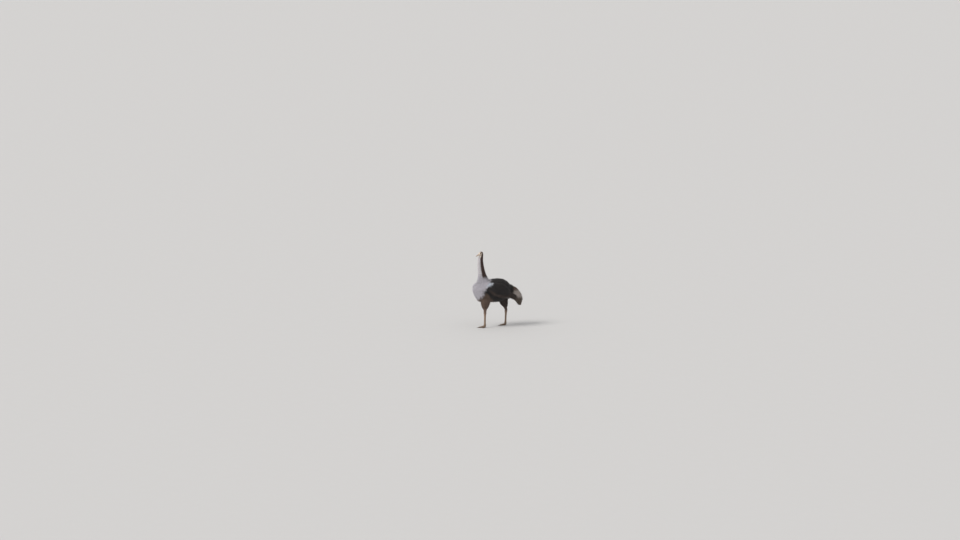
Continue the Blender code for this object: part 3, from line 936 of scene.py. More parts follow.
def make_beak():
    for word, voxel in BEAK_VOXELS.items():
        mesh = fused([f"beak_{word}"], voxel, 14)
        spots, _ = mesh_arrays(mesh)
        place = to_head(spots)
        shift = beak_relief(place, word == "upper")
        spots = spots + unit(averaged(vertex_normals(mesh), edge_pairs(mesh), 2)) * shift[:, None]
        move_to(mesh, spots)
        colours = mix(BEAK, BEAK_TIP, ramp(beak_share(place), 0.5, 0.9))
        colours = colours * (1 + 0.10 * wobble(spots, 0.012, 14))[:, None]
        # Painted shade where the relief sinks in, deepest in the nostrils.
        paint(mesh, colours * (1 - 0.75 * ramp(shift, -0.0008, -0.0020))[:, None])
        mesh.shade_smooth()
        dress(new_piece(f"beak_{word}_horn", mesh), HORN, "horn", f"beak_{word}")


def make_claws():
    """Claws that are paler at the root, with faint growth rings."""
    for word, _ in SIDES:
        node = f"claw_{word}"
        mesh = fused([node], CLAW_VOXEL, 7)
        spots, _ = mesh_arrays(mesh)
        low, high = corner_pair(node)
        share = (high[1] - spots[:, 1]) / (high[1] - low[1])
        rings = 0.00012 * np.sin(share * 44 + 2.0 * wobble(spots, 0.02, 15))
        spots = spots + unit(vertex_normals(mesh)) * rings[:, None]
        spots[:, 2] = np.maximum(spots[:, 2], 0.0)
        move_to(mesh, spots)
        paint(mesh, mix(CLAW * 1.3, CLAW * 0.55, share))
        mesh.shade_smooth()
        dress(new_piece(f"claw_{word}_horn", mesh), HORN, "horn", node)


PUPIL = math.radians(22)
IRIS = math.radians(42)
# The eye's colours at angles from its gaze.
EYE_COLOURS = (
    (0.00, shade(8, 6, 6)),
    (PUPIL * 0.97, shade(10, 8, 7)),
    (PUPIL * 1.05, shade(62, 38, 24)),
    ((PUPIL + IRIS) / 2, shade(96, 62, 38)),
    (IRIS * 0.95, shade(48, 29, 19)),
    (IRIS * 1.03, shade(24, 16, 13)),
    (math.pi / 2, shade(90, 70, 62)),
)


def eye_material():
    made, tree, shader = new_material("eye")
    gaze = add(tree, "ShaderNodeAttribute", attribute_name="gaze")
    colours = add(tree, "ShaderNodeValToRGB")
    points = colours.color_ramp.elements
    while len(points) < len(EYE_COLOURS):
        points.new(1.0)
    for point, (angle, colour) in zip(points, EYE_COLOURS):
        point.position = angle / (math.pi / 2)
        point.color = (*colour, 1.0)
    tree.links.new(gaze.outputs["Fac"], colours.inputs["Fac"])
    streak = spread(tree, grain(tree, 900), 0.75, 1.25)
    colour_by(tree, shader, colours.outputs["Color"], streak)
    tree.links.new(spread(tree, grain(tree, 200), 0.03, 0.08), shader.inputs["Roughness"])
    shader.inputs["IOR"].default_value = 1.37
    return made


EYE_RINGS = 48
EYE_SIDES = 64


def make_eyes():
    """Each eyeball is turned round its gaze, with the cornea standing a little out of it."""
    material = eye_material()
    for word, side in SIDES:
        angles = np.linspace(0, math.pi, EYE_RINGS + 1)
        turns = np.arange(EYE_SIDES) * 2 * math.pi / EYE_SIDES
        angle, turn = (grid.ravel() for grid in np.meshgrid(angles, turns, indexing="ij"))
        radius = EYE_RADIUS + 0.0007 * np.exp(-((angle / IRIS) ** 4))
        heading, _ = eye_headings(eye_axes(side), turn, angle)
        spots = EYES[word] + heading * radius[:, None]
        faces = grid_quads(EYE_RINGS + 1, EYE_SIDES, closed=True)
        mesh = new_mesh(f"eye_{word}_ball", spots, faces)
        layer = mesh.attributes.new("gaze", "FLOAT", "POINT")
        layer.data.foreach_set("value", (angle / (math.pi / 2)).astype(np.float32))
        work = bmesh.new()
        work.from_mesh(mesh)
        bmesh.ops.remove_doubles(work, verts=work.verts, dist=1e-6)
        bmesh.ops.recalc_face_normals(work, faces=work.faces)
        work.to_mesh(mesh)
        work.free()
        mesh.shade_smooth()
        dress(new_piece(f"eye_{word}_ball", mesh), material, "eye", f"eye_{word}")


# ---------------- floor, lights and camera
CAMERA_TURN = math.radians(68)
CAMERA_RISE = math.radians(8)
CAMERA_DISTANCE = 87.3
CAMERA_LENS = 113.7
AIM_ASIDE = -0.494
AIM_HEIGHT = 1.64
CAMERA_CLIP = 2000
CAMERA_RIGHT = Vector((math.cos(CAMERA_TURN), math.sin(CAMERA_TURN), 0.0))
CAMERA_LEVEL = Vector((math.sin(CAMERA_TURN), -math.cos(CAMERA_TURN), 0.0))
FLOOR_REACH = 600.0
FLOOR_GREY = (0.556, 0.555, 0.558, 1)
SKY_COLOUR = (1.0, 0.992, 0.985, 1)
SKY_STRENGTH = 0.655
SUN_COLOUR = (1.0, 0.97, 0.93)
SUN_STRENGTH = 2.3
SUN_WIDTH = math.radians(28)
# The way to the sun: to the camera's left, towards the camera and up.
SUN_PLACE = (0.75, 0.45, 0.85)


def make_stage():
    corners = np.array(((-1, -1, 0), (1, -1, 0), (1, 1, 0), (-1, 1, 0))) * FLOOR_REACH
    mesh = new_mesh("floor", corners, [(0, 1, 2, 3)])
    made, tree, shader = new_material("floor")
    shader.inputs["Base Color"].default_value = FLOOR_GREY
    tree.links.new(spread(tree, grain(tree, 3.0), 0.80, 0.92), shader.inputs["Roughness"])
    mesh.materials.append(made)
    new_piece("floor", mesh)


def make_light():
    world = bpy.data.worlds.new("studio")
    world.use_nodes = True
    sky = world.node_tree.nodes["Background"]
    sky.inputs["Color"].default_value = SKY_COLOUR
    sky.inputs["Strength"].default_value = SKY_STRENGTH
    bpy.context.scene.world = world
    aside_by, ahead_by, up_by = SUN_PLACE
    source = ahead_by * CAMERA_LEVEL - aside_by * CAMERA_RIGHT + Vector((0, 0, up_by))
    lamp = bpy.data.lights.new("window", "SUN")
    lamp.energy = SUN_STRENGTH
    lamp.angle = SUN_WIDTH
    lamp.color = SUN_COLOUR
    window = bpy.data.objects.new("window", lamp)
    window.rotation_euler = source.normalized().to_track_quat("Z", "Y").to_euler()
    bpy.context.scene.collection.objects.link(window)


def make_camera():
    aim = CAMERA_RIGHT * AIM_ASIDE + Vector((0, 0, AIM_HEIGHT))
    towards = CAMERA_LEVEL * math.cos(CAMERA_RISE) + Vector((0, 0, math.sin(CAMERA_RISE)))
    lens = bpy.data.cameras.new("camera")
    lens.lens = CAMERA_LENS
    lens.clip_end = CAMERA_CLIP
    camera = bpy.data.objects.new("camera", lens)
    camera.location = aim + towards * CAMERA_DISTANCE
    camera.rotation_euler = towards.to_track_quat("Z", "Y").to_euler()
    bpy.context.scene.collection.objects.link(camera)
    bpy.context.scene.camera = camera


# ---------------- plume shapes
PLUME_CUP = 1.1  # how much a plume's sides bend down round its shaft


def ribbons(bases, angles, lengths, bends, widths, lifts, twists, joints):
    """Tapering strips that lean from the y axis by their angles, and by bends of that at the tip.

    It gives the corners, the faces and each corner's share of the way to the tip."""
    count = len(bases)
    rows, shares = [], []
    spot = bases.copy()
    for joint in range(joints):
        share = joint / joints
        angle = angles * (1 + (bends - 1) * share)
        heading = np.stack([np.sin(angle), np.cos(angle), np.zeros(count)], axis=1)
        across = np.stack([np.cos(angle), -np.sin(angle), twists], axis=1)
        half = widths * (0.5 - 0.28 * abs(share - 0.3))
        rows += [spot - across * half[:, None], spot + across * half[:, None]]
        shares += [share, share]
        spot = spot + heading * (lengths / joints)[:, None]
        spot[:, 2] = bases[:, 2] + lifts * ((joint + 1) / joints) ** 1.6
    rows.append(spot)
    shares.append(1.0)
    size = len(rows)
    corners = np.stack(rows, axis=1).reshape(-1, 3)
    strip = grid_triangles(joints, 2) + [(size - 3, size - 2, size - 1)]
    faces = np.array(strip)[None] + (np.arange(count) * size)[:, None, None]
    return corners, faces.reshape(-1, 3), np.tile(shares, count)


def plume_shape(rng, barbs, reach, width, leans, joints=2):
    """A loose plume of length 1 along y: a shaft with free barbs to both sides."""
    share = np.linspace(0.04, 0.99, barbs) + rng.uniform(-0.012, 0.012, barbs)
    hand = np.where(np.arange(barbs) % 2 == 0, 1.0, -1.0)
    angles = np.radians(np.interp(share, (0, 1), leans)) * hand * rng.uniform(0.70, 1.25, barbs)
    fullness = 0.42 + 0.58 * np.sin(math.pi * np.clip(0.12 + 0.80 * share, 0, 1)) ** 0.8
    lengths = reach * fullness * rng.uniform(0.72, 1.15, barbs)
    bases = np.stack([np.zeros(barbs), share, np.zeros(barbs)], axis=1)
    bends = rng.uniform(0.10, 0.70, barbs)
    lifts = rng.normal(0.0, 0.14, barbs) * lengths
    twists = rng.normal(0.0, 0.45, barbs)
    widths = width * rng.uniform(0.75, 1.2, barbs)
    barb_shape = ribbons(bases, angles, lengths, bends, widths, lifts, twists, joints)
    none, one = np.zeros(1), np.ones(1)
    shaft = ribbons(np.zeros((1, 3)), none, one, one, one * width * 1.2, none, none, 5)
    spots, faces, shares = joined([shaft, barb_shape])
    spots[:, 2] -= PLUME_CUP * spots[:, 0] ** 2
    return spots, faces, shares


def down_shape(rng, barbs, width, lean):
    """A tuft of down: a few soft barbs from one root."""
    angles = np.radians(np.linspace(-lean, lean, barbs)) * rng.uniform(0.7, 1.2, barbs)
    lengths = rng.uniform(0.70, 1.05, barbs)
    bases = np.stack([angles * 0.12, rng.uniform(0, 0.12, barbs), np.zeros(barbs)], axis=1)
    bends = rng.uniform(-0.4, 1.4, barbs)
    lifts = rng.normal(0.02, 0.06, barbs)
    twists = rng.normal(0.0, 0.4, barbs)
    widths = width * rng.uniform(0.8, 1.2, barbs)
    return ribbons(bases, angles, lengths, bends, widths, lifts, twists, 2)


SHAPE_COUNT = 12


def several(shape, *sizes, **more):
    """A set of shapes that differ by chance, so that a coat doesn't repeat itself."""
    return [shape(RNG, *sizes, **more) for _ in range(SHAPE_COUNT)]


BODY_PLUMES = several(plume_shape, 30, 0.36, 0.0105, (46, 12))
SHORT_PLUMES = several(plume_shape, 20, 0.38, 0.016, (46, 14))
LONG_PLUMES = several(plume_shape, 110, 0.21, 0.0052, (56, 16), joints=3)
DOWN_TUFTS = several(down_shape, 7, 0.038, 25)
BRISTLES = several(down_shape, 2, 0.042, 12)


# ---------------- laying the coat
def make_hull(names, voxel):
    """The coat's outside: a tree to find its nearest face and each face's smooth normal."""
    mesh = fused(names, voxel, 4)
    spots, faces = mesh_arrays(mesh)
    normals = averaged(vertex_normals(mesh), edge_pairs(mesh), 4)
    bpy.data.meshes.remove(mesh)
    return tree_of(spots, faces), unit(normals[faces].mean(axis=1))


def on_hull(hull, points):
    tree, face_normals = hull
    spots, _, faces = nearest(tree, points)
    return spots, face_normals[faces]


def scattered(names, spacing, hull, low=None, high=None, jitter=0.45):
    """Even but irregular roots over some nodes, moved onto the hull."""
    mesh = fused(names, spacing, 0)
    spots, _ = mesh_arrays(mesh)
    bpy.data.meshes.remove(mesh)
    if low is not None:
        spots = spots[spots[:, 2] > low]
    if high is not None:
        spots = spots[spots[:, 2] < high]
    spots = spots + RNG.uniform(-jitter, jitter, spots.shape) * spacing
    return on_hull(hull, spots)[0]


def aside(headings, normals, angles):
    """Headings turned round the normals by some angles."""
    across = np.cross(normals, headings)
    return headings * np.cos(angles)[:, None] + across * np.sin(angles)[:, None]


def paths_from(roots, hull, lie, lengths, steps, stray, leaving):
    """Walks from each root over the hull, the way that the plumes lie.

    Where leaving is 1, a path goes straight on from a hull that turns away from under it."""
    spot, normal = on_hull(hull, roots)
    turn = RNG.normal(0, stray, len(roots)) + 0.22 * wobble(roots, 0.13, 31)
    spots, across, ups = [], [], []
    for _ in range(steps + 1):
        lying = unit(lie(spot, normal))
        outward = np.sum(lying * normal, axis=1)
        flat = aside(unit(lying - normal * outward[:, None]), normal, turn)
        free = leaving * ramp(outward, 0.50, 0.80)
        heading = unit(mix(flat, lying, free))
        spots.append(spot)
        across.append(unit(np.cross(flat, normal)))
        ups.append(unit(np.cross(across[-1], heading)))
        ahead = spot + heading * (lengths / steps)[:, None]
        landed, turned = on_hull(hull, ahead)
        spot, normal = mix(landed, ahead, free), unit(mix(turned, normal, free))
    return np.stack(spots, axis=1), np.stack(across, axis=1), np.stack(ups, axis=1)


def along_path(rows, places):
    """Rows of values at the steps of each path, read at places from 0 to 1 along it."""
    steps = rows.shape[1] - 1
    scaled = places * steps
    at = np.clip(np.floor(scaled), 0, steps - 1).astype(int)
    share = (scaled - at)[None, :, None]
    return rows[:, at] * (1 - share) + rows[:, at + 1] * share


PATH_STEPS = 6
PATCH = 0.003  # how wide each tuft's patch is on the map for baking
PALE_VARY = 0.09  # how much pale plumes differ from each other in tone
# The corners that no tip reaches past: the solids' box with a little room round it.
BOX_ROOM = 0.03 * (np.array(cad_box[1]) - np.array(cad_box[0])) + 0.006
COAT_ROOM = (np.array(cad_box[0]) - BOX_ROOM, np.array(cad_box[1]) + BOX_ROOM)


def new_coat():
    return {"spots": [], "faces": [], "marks": [], "places": [], "patches": [], "count": 0}


def add_shapes(coat, laid, faces, patch, marks, places):
    """Adds shapes with the same faces to a coat. laid and marks are shape, corner, axis."""
    count, step = laid.shape[:2]
    firsts = coat["count"] + np.arange(count) * step
    coat["spots"].append(laid.reshape(-1, 3))
    coat["faces"].append((np.array(faces)[None] + firsts[:, None, None]).reshape(-1, 3))
    coat["marks"].append(marks.reshape(-1, 3))
    coat["places"].append(np.repeat(places, step, axis=0))
    coat["patches"].append(np.tile(patch * PATCH, (count, 1)))
    coat["count"] += count * step


def grow(
    coat, roots, hull, around, lie, lengths, depths, shapes, marks,
    stray=0.20, lift=0.02, vary=0.10, leaving=0.0,
):
    """Adds one plume at each root: it starts deep in the coat and its tip lies on the hull.

    around gives the map for baking, lie the way to the tip and marks the colours. depths is
    one number for each root or one for all."""
    places = around(roots)
    walk = (lengths, PATH_STEPS, stray, leaving)
    paths, across, normals = paths_from(roots, hull, lie, *walk)
    share = np.linspace(0, 1, PATH_STEPS + 1)
    sunk = np.broadcast_to(depths, len(roots))[:, None] * 0.92 * (1 - share**0.75)[None]
    tips = (RNG.uniform(-0.8, 1.6, len(roots)) + 1.2 * wobble(roots, 0.10, 32)) * lift * lengths
    sunk = sunk - tips[:, None] * (share**2)[None]
    paths = paths - normals * sunk[..., None]
    colours = marks(paths + normals * sunk[..., None])
    bright = ramp(colours.mean(axis=(1, 2)), 0.10, 0.40)
    vary = vary + (PALE_VARY - vary) * bright
    tones = np.exp(vary * (RNG.normal(0, 1, len(roots)) + 0.6 * wobble(roots, 0.09, 33)))
    for number, (spots, faces, shares) in enumerate(shapes):
        mine = np.arange(number, len(roots), len(shapes))
        if not len(mine):
            continue
        where = spots[:, 1]
        size = lengths[mine][:, None, None]
        laid = along_path(paths[mine], where)
        laid = laid + along_path(across[mine], where) * spots[:, :1] * size
        laid = laid + along_path(normals[mine], where) * spots[:, 2:] * size
        tint = along_path(colours[mine], np.clip(where, 0, 1))
        paler = 0.80 + 3.0 * vary[mine][:, None] * shares[None]
        tint = tint * (tones[mine][:, None] * paler)[..., None]
        add_shapes(coat, laid, faces, spots[:, :2] - (0, 0.5), tint, places[mine])


def array_mesh(name, spots, faces):
    """A mesh of triangles, made the quick way that big pieces need."""
    mesh = bpy.data.meshes.new(name)
    mesh.vertices.add(len(spots))
    mesh.vertices.foreach_set("co", spots.astype(np.float32).ravel())
    mesh.loops.add(len(faces) * 3)
    mesh.loops.foreach_set("vertex_index", faces.astype(np.int32).ravel())
    mesh.polygons.add(len(faces))
    mesh.polygons.foreach_set("loop_start", np.arange(len(faces), dtype=np.int32) * 3)
    mesh.update(calc_edges=True)
    return mesh


COAT_LOOKS = {
    "plumage": DARK_PLUMAGE,
    "pale_plumage": PLUMAGE,
    "tail_plumage": PLUMAGE,
    "leg_scales": SCALE,
}


def finish_coat(name, coat, slot):
    """Joins the plumes of one region to a mesh, with its marks and its map for baking."""
    spots, faces = np.concatenate(coat["spots"]), np.concatenate(coat["faces"])
    mesh = array_mesh(name, np.clip(spots, *COAT_ROOM), faces)
    paint(mesh, np.concatenate(coat["marks"]))
    places = np.concatenate(coat["places"])
    low, high = places.min(axis=0), places.max(axis=0)
    chart = 0.01 + 0.98 * (places - low) / np.maximum(high - low, 1e-6)
    chart = chart + np.concatenate(coat["patches"])
    layer = mesh.uv_layers.new(name="OFBake")
    layer.data.foreach_set("uv", chart[faces.ravel()].astype(np.float32).ravel())
    mesh.shade_smooth()
    dress(new_piece(name, mesh), COAT_LOOKS[slot], slot)
    print(f"{name}: {len(faces)} triangles")


def unwrapped(side, ahead, along):
    """Places on a map for baking: the turn round a part of the body and the way along it."""
    return np.stack([np.arctan2(side, ahead), along], axis=1)


def around_trunk(points):
    return unwrapped(points[:, 0], points[:, 2] - TRUNK_MIDDLE[2], points[:, 1])


def around_neck(points):
    return unwrapped(points[:, 0], neck_centre_y(points[:, 2]) - points[:, 1], points[:, 2])


def around_head(points):
    side, along, height = to_head(points).T
    return unwrapped(side, height, along)


def around_leg(points):
    axis = leg_axis(points)
    along = points[:, 2] - 0.4 * points[:, 1]
    return unwrapped(points[:, 0] - axis[:, 0], axis[:, 1] - points[:, 1], along)


TAIL_ARC = 0.40  # the radius of the arc that the tail droops along


def around_tail(points):
    outward = np.linalg.norm((points - TAIL_LOW)[:, 1:], axis=1) - TAIL_ARC
    return unwrapped(points[:, 0], outward, tail_share(points))


def tail_share(points):
    """The way along the tail's arc, 0 at its root and 1 at its tips."""
    back = points[:, 1] - TAIL_LOW[1]
    down = TAIL_HIGH[2] - points[:, 2]
    whole = TAIL_HIGH[1] - TAIL_LOW[1] + TAIL_HIGH[2] - TAIL_LOW[2]
    return np.clip((back + down) / whole, 0, 1)


# ---------------- the way the coat lies
def lie_trunk(points, normals):
    """Back along the body, down over the breast, out from the neck and down at the flanks."""
    front = np.clip(-normals[:, 1], 0, 1)
    back = 0.35 + 0.65 * (1 - front)
    down = 0.15 + 0.45 * np.abs(normals[:, 0]) + 0.90 * front + 0.9 * flank_share(points)
    along = np.stack([0 * front, back, -down], axis=1)
    from_neck = points[:, :2] - (0.0, neck_centre_y(NECK_FOOT))
    outward = np.column_stack([unit(from_neck), np.full(len(points), -0.9)])
    near_neck = ramp(np.linalg.norm(from_neck, axis=1), 0.34, 0.20)
    near_neck = near_neck * ramp(points[:, 2], TRUNK_MIDDLE[2] + 0.05, NECK_FOOT)
    return mix(unit(along), unit(outward), near_neck)


def flank_share(points):
    """1 on the loose plumes that hang over the thighs, low on the body's fore half."""
    low = ramp(points[:, 2], 0.92, 0.80)
    fore = bump(points[:, 1], TRUNK_LOW[1] + 0.37, 0.26)
    return low * fore * ramp(np.abs(points[:, 0]), 0.04, 0.12)


def lie_wing(points, normals):
    droop = 0.30 + 0.35 * ramp(points[:, 1], TRUNK_MIDDLE[1], WING_HIGH[1])
    return np.stack([0 * droop, 1 + 0 * droop, -droop], axis=1)


def lie_tail(points, normals):
    angle = np.radians(15 + 73 * tail_share(points))
    return np.stack([0.5 * points[:, 0], np.cos(angle), -np.sin(angle)], axis=1)


def falling(back):
    """Straight down but for a lean towards the back."""
    return lambda points, normals: np.tile((0.0, back, -1.0), (len(points), 1))


def lie_head(points, normals):
    low = ramp(to_head(points)[:, 2], 0.005, -0.030)
    heading = np.stack([0 * low, 1 - 0.75 * low, -0.30 - 0.90 * low], axis=1)
    return heading @ HEAD_TURN.T


def marks_along(kind, at=None):
    """Marks for paths: each step's own, or those of one step for the whole plume."""

    def marks_of(paths):
        count, steps = paths.shape[:2]
        if at is None:
            return MARKS[kind](paths.reshape(-1, 3)).reshape(count, steps, 3)
        own = MARKS[kind](paths[:, at])
        return np.repeat(own[:, None], steps, axis=1)

    return marks_of


# ---------------- the coat
THIN = 1.0
# How far apart the roots are in each part of the coat.
BREAST_SPACING = 0.0200 * THIN
BACK_SPACING = 0.0195 * THIN
BELLY_SPACING = 0.0240 * THIN
THIGH_SPACING = 0.0165 * THIN
WING_SPACING = 0.0205 * THIN
TAIL_SPACING = 0.0260 * THIN
NECK_BASE_SPACING = 0.0134 * THIN
NECK_SPACING = 0.0066 * THIN
CROWN_SPACING = 0.0036 * THIN
BREAST_REACH = TRUNK_LOW[1] + 0.30
NECK_BASE_TOP = NECK_FOOT + 0.17
# How long the plumes are, and how much longer or shorter they get across their part.
TRUNK_PLUME = 0.175
WING_PLUME, WING_EDGE_EXTRA = 0.155, 0.030
TAIL_PLUME = 0.17
THIGH_PLUME, THIGH_TOP_EXTRA = 0.050, 0.075
NECK_BASE_PLUME, NECK_BASE_TAPER = 0.105, 0.065
NECK_DOWN, NECK_DOWN_TAPER = 0.030, 0.014
FREE_WING_PLUME = (0.20, 0.28)
DARK_VARY = 0.24  # how much dark plumes differ, and how much paler their tips are
BROWN_VARY = 0.16
THIGH_DEPTH = COAT_DEPTH["thigh"] + 0.001
FREE_WING_DEPTH = 0.012
BODY_HULL_VOXEL = 0.010
NECK_HULL_VOXEL = 0.0045
LEG_HULL_VOXEL = 0.0034
TORSO = [name for name in FLESH if not name.startswith(("toe", "shank"))]
BODY_HULL = make_hull(TORSO, BODY_HULL_VOXEL)
NECK_HULL = make_hull(["head", "neck_upper", "neck_lower"], NECK_HULL_VOXEL)
ON_BODY = (BODY_HULL, around_trunk)


def region_of(points, normals, kinds):
    """The piece of coat that each place on the hull belongs to."""
    words = np.where(points[:, 0] > 0, "left", "right")
    regions = np.char.add("coat_flank_", words)
    regions = np.where(normals[:, 2] > 0.62, "coat_back", regions)
    regions = np.where(normals[:, 2] < -0.50, "coat_belly", regions)
    regions = np.where(points[:, 1] < BREAST_REACH, "coat_breast", regions)
    regions = np.where(kinds == "wing", np.char.add("coat_wing_", words), regions)
    regions = np.where(kinds == "tail", "coat_tail", regions)
    regions = np.where(np.isin(kinds, ("neck_lower", "neck_upper", "head")), "neck", regions)
    return np.where(kinds == "thigh", "thigh", regions)


def trunk_lengths(points):
    """Plumes are shorter on breast, nape and rump, and longer where they hang over a thigh."""
    breast = ramp(points[:, 1], BREAST_REACH + 0.06, TRUNK_LOW[1] + 0.12)
    from_neck = np.linalg.norm(points[:, :2] - (0.0, neck_centre_y(NECK_FOOT)), axis=1)
    nape = ramp(from_neck, 0.36, 0.20) * ramp(points[:, 2], TRUNK_MIDDLE[2] + 0.10, NECK_FOOT)
    lengths = TRUNK_PLUME - 0.060 * breast - 0.060 * nape * (1 - 0.4 * breast)
    lengths = lengths + 0.055 * flank_share(points)
    lengths = lengths * (1 - 0.42 * ramp(points[:, 1], TRUNK_HIGH[1] - 0.20, TRUNK_HIGH[1]))
    return varied(lengths, 0.86, 1.14)


def varied(lengths, least, most):
    """Lengths that differ by chance."""
    return lengths * RNG.uniform(least, most, len(lengths))


def region_roots(region, spacing):
    """Roots for one region of the body, with their own spacing."""
    roots = scattered(["trunk", "wing_left", "wing_right", "tail", "neck_lower"], spacing, BODY_HULL)
    roots, normals = on_hull(BODY_HULL, roots)
    return roots[region_of(roots, normals, kinds_at(roots)) == region]


def trunk_coat():
    regions = (
        ("coat_breast", BREAST_SPACING, "pale_plumage", PALE_VARY),
        ("coat_back", BACK_SPACING, "plumage", DARK_VARY),
        ("coat_belly", BELLY_SPACING, "plumage", BROWN_VARY),
        ("coat_flank_left", BACK_SPACING, "plumage", BROWN_VARY),
        ("coat_flank_right", BACK_SPACING, "plumage", BROWN_VARY),
    )
    for region, spacing, slot, vary in regions:
        coat = new_coat()
        roots = region_roots(region, spacing)
        lengths = trunk_lengths(roots)
        depths = np.minimum(COAT_DEPTH["trunk"], lengths * 0.28)
        settings = (lie_trunk, lengths, depths, BODY_PLUMES, marks_along("trunk", 4))
        grow(coat, roots, *ON_BODY, *settings, lift=0.035, vary=vary)
        finish_coat(region, coat, slot)


def wing_coat():
    for word, _ in SIDES:
        coat = new_coat()
        roots = region_roots(f"coat_wing_{word}", WING_SPACING)
        edge = wing_edge_share(roots)
        lengths = varied(WING_PLUME + WING_EDGE_EXTRA * edge, 0.85, 1.15)
        settings = (lie_wing, lengths, COAT_DEPTH["wing"], BODY_PLUMES, marks_along("wing", 4))
        loose = {"lift": 0.035 + 0.060 * edge, "vary": DARK_VARY, "leaving": 1.0}
        grow(coat, roots, *ON_BODY, *settings, **loose)
        wing_tips(coat, word)
        finish_coat(f"coat_wing_{word}", coat, "plumage")


def tail_coat():
    coat = new_coat()
    roots = region_roots("coat_tail", TAIL_SPACING)
    lengths = TAIL_PLUME * RNG.uniform(0.85, 1.15, len(roots))
    settings = (lie_tail, lengths, COAT_DEPTH["tail"] * 0.8, BODY_PLUMES, marks_along("tail"))
    grow(coat, roots, BODY_HULL, around_tail, *settings, vary=0.12)
    tail_tips(coat, roots)
    finish_coat("coat_tail", coat, "tail_plumage")


def thigh_coat():
    """Short plumes on the upper thigh, which thin out to bare skin below."""
    for word, _ in SIDES:
        node = f"thigh_{word}"
        roots = scattered([node, "trunk"], THIGH_SPACING, BODY_HULL, high=TRUNK_LOW[2] + 0.26)
        roots = roots[kinds_at(roots) == "thigh"]
        roots = roots[roots[:, 0] * middle(node)[0] > 0]
        share = ramp(roots[:, 2], HOCK_TOP + 0.10, TRUNK_LOW[2] + 0.02)
        kept = RNG.random(len(roots)) < share * 1.15
        roots, share = roots[kept], share[kept]
        lengths = varied(THIGH_PLUME + THIGH_TOP_EXTRA * share, 0.8, 1.15)
        coat = new_coat()
        settings = (falling(0.30), lengths, THIGH_DEPTH, SHORT_PLUMES, marks_along("thigh", 3))
        loose = {"stray": 0.13, "lift": 0.03, "vary": BROWN_VARY}
        grow(coat, roots, *ON_BODY, *settings, **loose)
        finish_coat(f"coat_thigh_{word}", coat, "plumage")


WING_TIP_COUNT = 54
TAIL_TIP_COUNT = 130
TAIL_RUN = 0.69  # how far plumes run along the tail, from its root to its tips


def wing_tips(coat, word):
    """The long loose plumes that hang from the wing's hind part."""
    side = dict(SIDES)[word]
    share = np.linspace(0, 1, WING_TIP_COUNT) + RNG.uniform(-0.01, 0.01, WING_TIP_COUNT)
    back = np.interp(share, (0, 1), (TRUNK_MIDDLE[1] - 0.16, WING_HIGH[1] - 0.24))
    height = np.interp(share, (0, 1), (WING_LOW[2] + 0.20, WING_HIGH[2] - 0.16))
    height = height + RNG.uniform(-0.06, 0.06, WING_TIP_COUNT)
    roots = np.stack([np.full(WING_TIP_COUNT, side * WING_HIGH[0]), back, height], axis=1)
    roots = on_hull(BODY_HULL, roots)[0]
    lengths = RNG.uniform(*FREE_WING_PLUME, WING_TIP_COUNT)
    settings = (lie_wing, lengths, FREE_WING_DEPTH, LONG_PLUMES, marks_along("wing"))
    loose = {"stray": 0.12, "lift": 0.04, "vary": DARK_VARY, "leaving": 1.0}
    grow(coat, roots, *ON_BODY, *settings, **loose)


def tail_tips(coat, roots):
    """The long drooping plumes of the tail."""
    share = tail_share(roots)
    order = np.argsort(RNG.random(len(roots)))
    chosen = order[(share[order] > 0.05) & (share[order] < 0.45)][:TAIL_TIP_COUNT]
    mine = roots[chosen]
    lengths = varied((1 - share[chosen]) * TAIL_RUN, 0.68, 0.92)
    depths = RNG.uniform(0.006, 0.040, len(mine))
    settings = (lie_tail, lengths, depths, LONG_PLUMES, marks_along("tail"))
    grow(coat, mine, BODY_HULL, around_tail, *settings, stray=0.10)


def neck_base_coat():
    """Short plumes that lead from the trunk's coat to the neck's down."""
    base = new_coat()
    names = ["neck_lower", "trunk"]
    roots = scattered(names, NECK_BASE_SPACING, BODY_HULL, low=NECK_FOOT - 0.02, high=NECK_BASE_TOP)
    roots = roots[kinds_at(roots) == "neck_lower"]
    share = ramp(roots[:, 2], NECK_FOOT, NECK_BASE_TOP)
    lengths = varied(NECK_BASE_PLUME - NECK_BASE_TAPER * share, 0.85, 1.15)
    depths = depth_at(roots, kinds_at(roots))
    settings = (falling(0.06), lengths, depths, SHORT_PLUMES, marks_along("neck_lower", 4))
    grow(base, roots, BODY_HULL, around_neck, *settings)
    finish_coat("coat_neck_base", base, "pale_plumage")


def neck_coat():
    """Down, which is finest next to the head."""
    names = ["head", "neck_upper", "neck_lower"]
    limits = {"low": NECK_BASE_TOP - 0.05, "high": HEAD_LOW[2] + 0.08}
    roots = scattered(names, NECK_SPACING, NECK_HULL, **limits)
    kinds = kinds_at(roots)
    for kind in ("neck_lower", "neck_upper"):
        coat = new_coat()
        mine = roots[kinds == kind]
        share = ramp(mine[:, 2], NECK_BASE_TOP, NECK_TOP - 0.05)
        lengths = varied(NECK_DOWN - NECK_DOWN_TAPER * share, 0.8, 1.2)
        depths = depth_at(mine, kinds[kinds == kind])
        settings = (falling(0.06), lengths, depths, DOWN_TUFTS, marks_along(kind))
        grow(coat, mine, NECK_HULL, around_neck, *settings, stray=0.24, lift=0.10)
        finish_coat(f"coat_{kind}", coat, "pale_plumage")


BARE_ROUND_EYE = 0.030
BARE_ROUND_EAR = 0.0080
BRISTLE_FRONT = -0.050  # where the bristles begin behind the beak, in the head's own frame


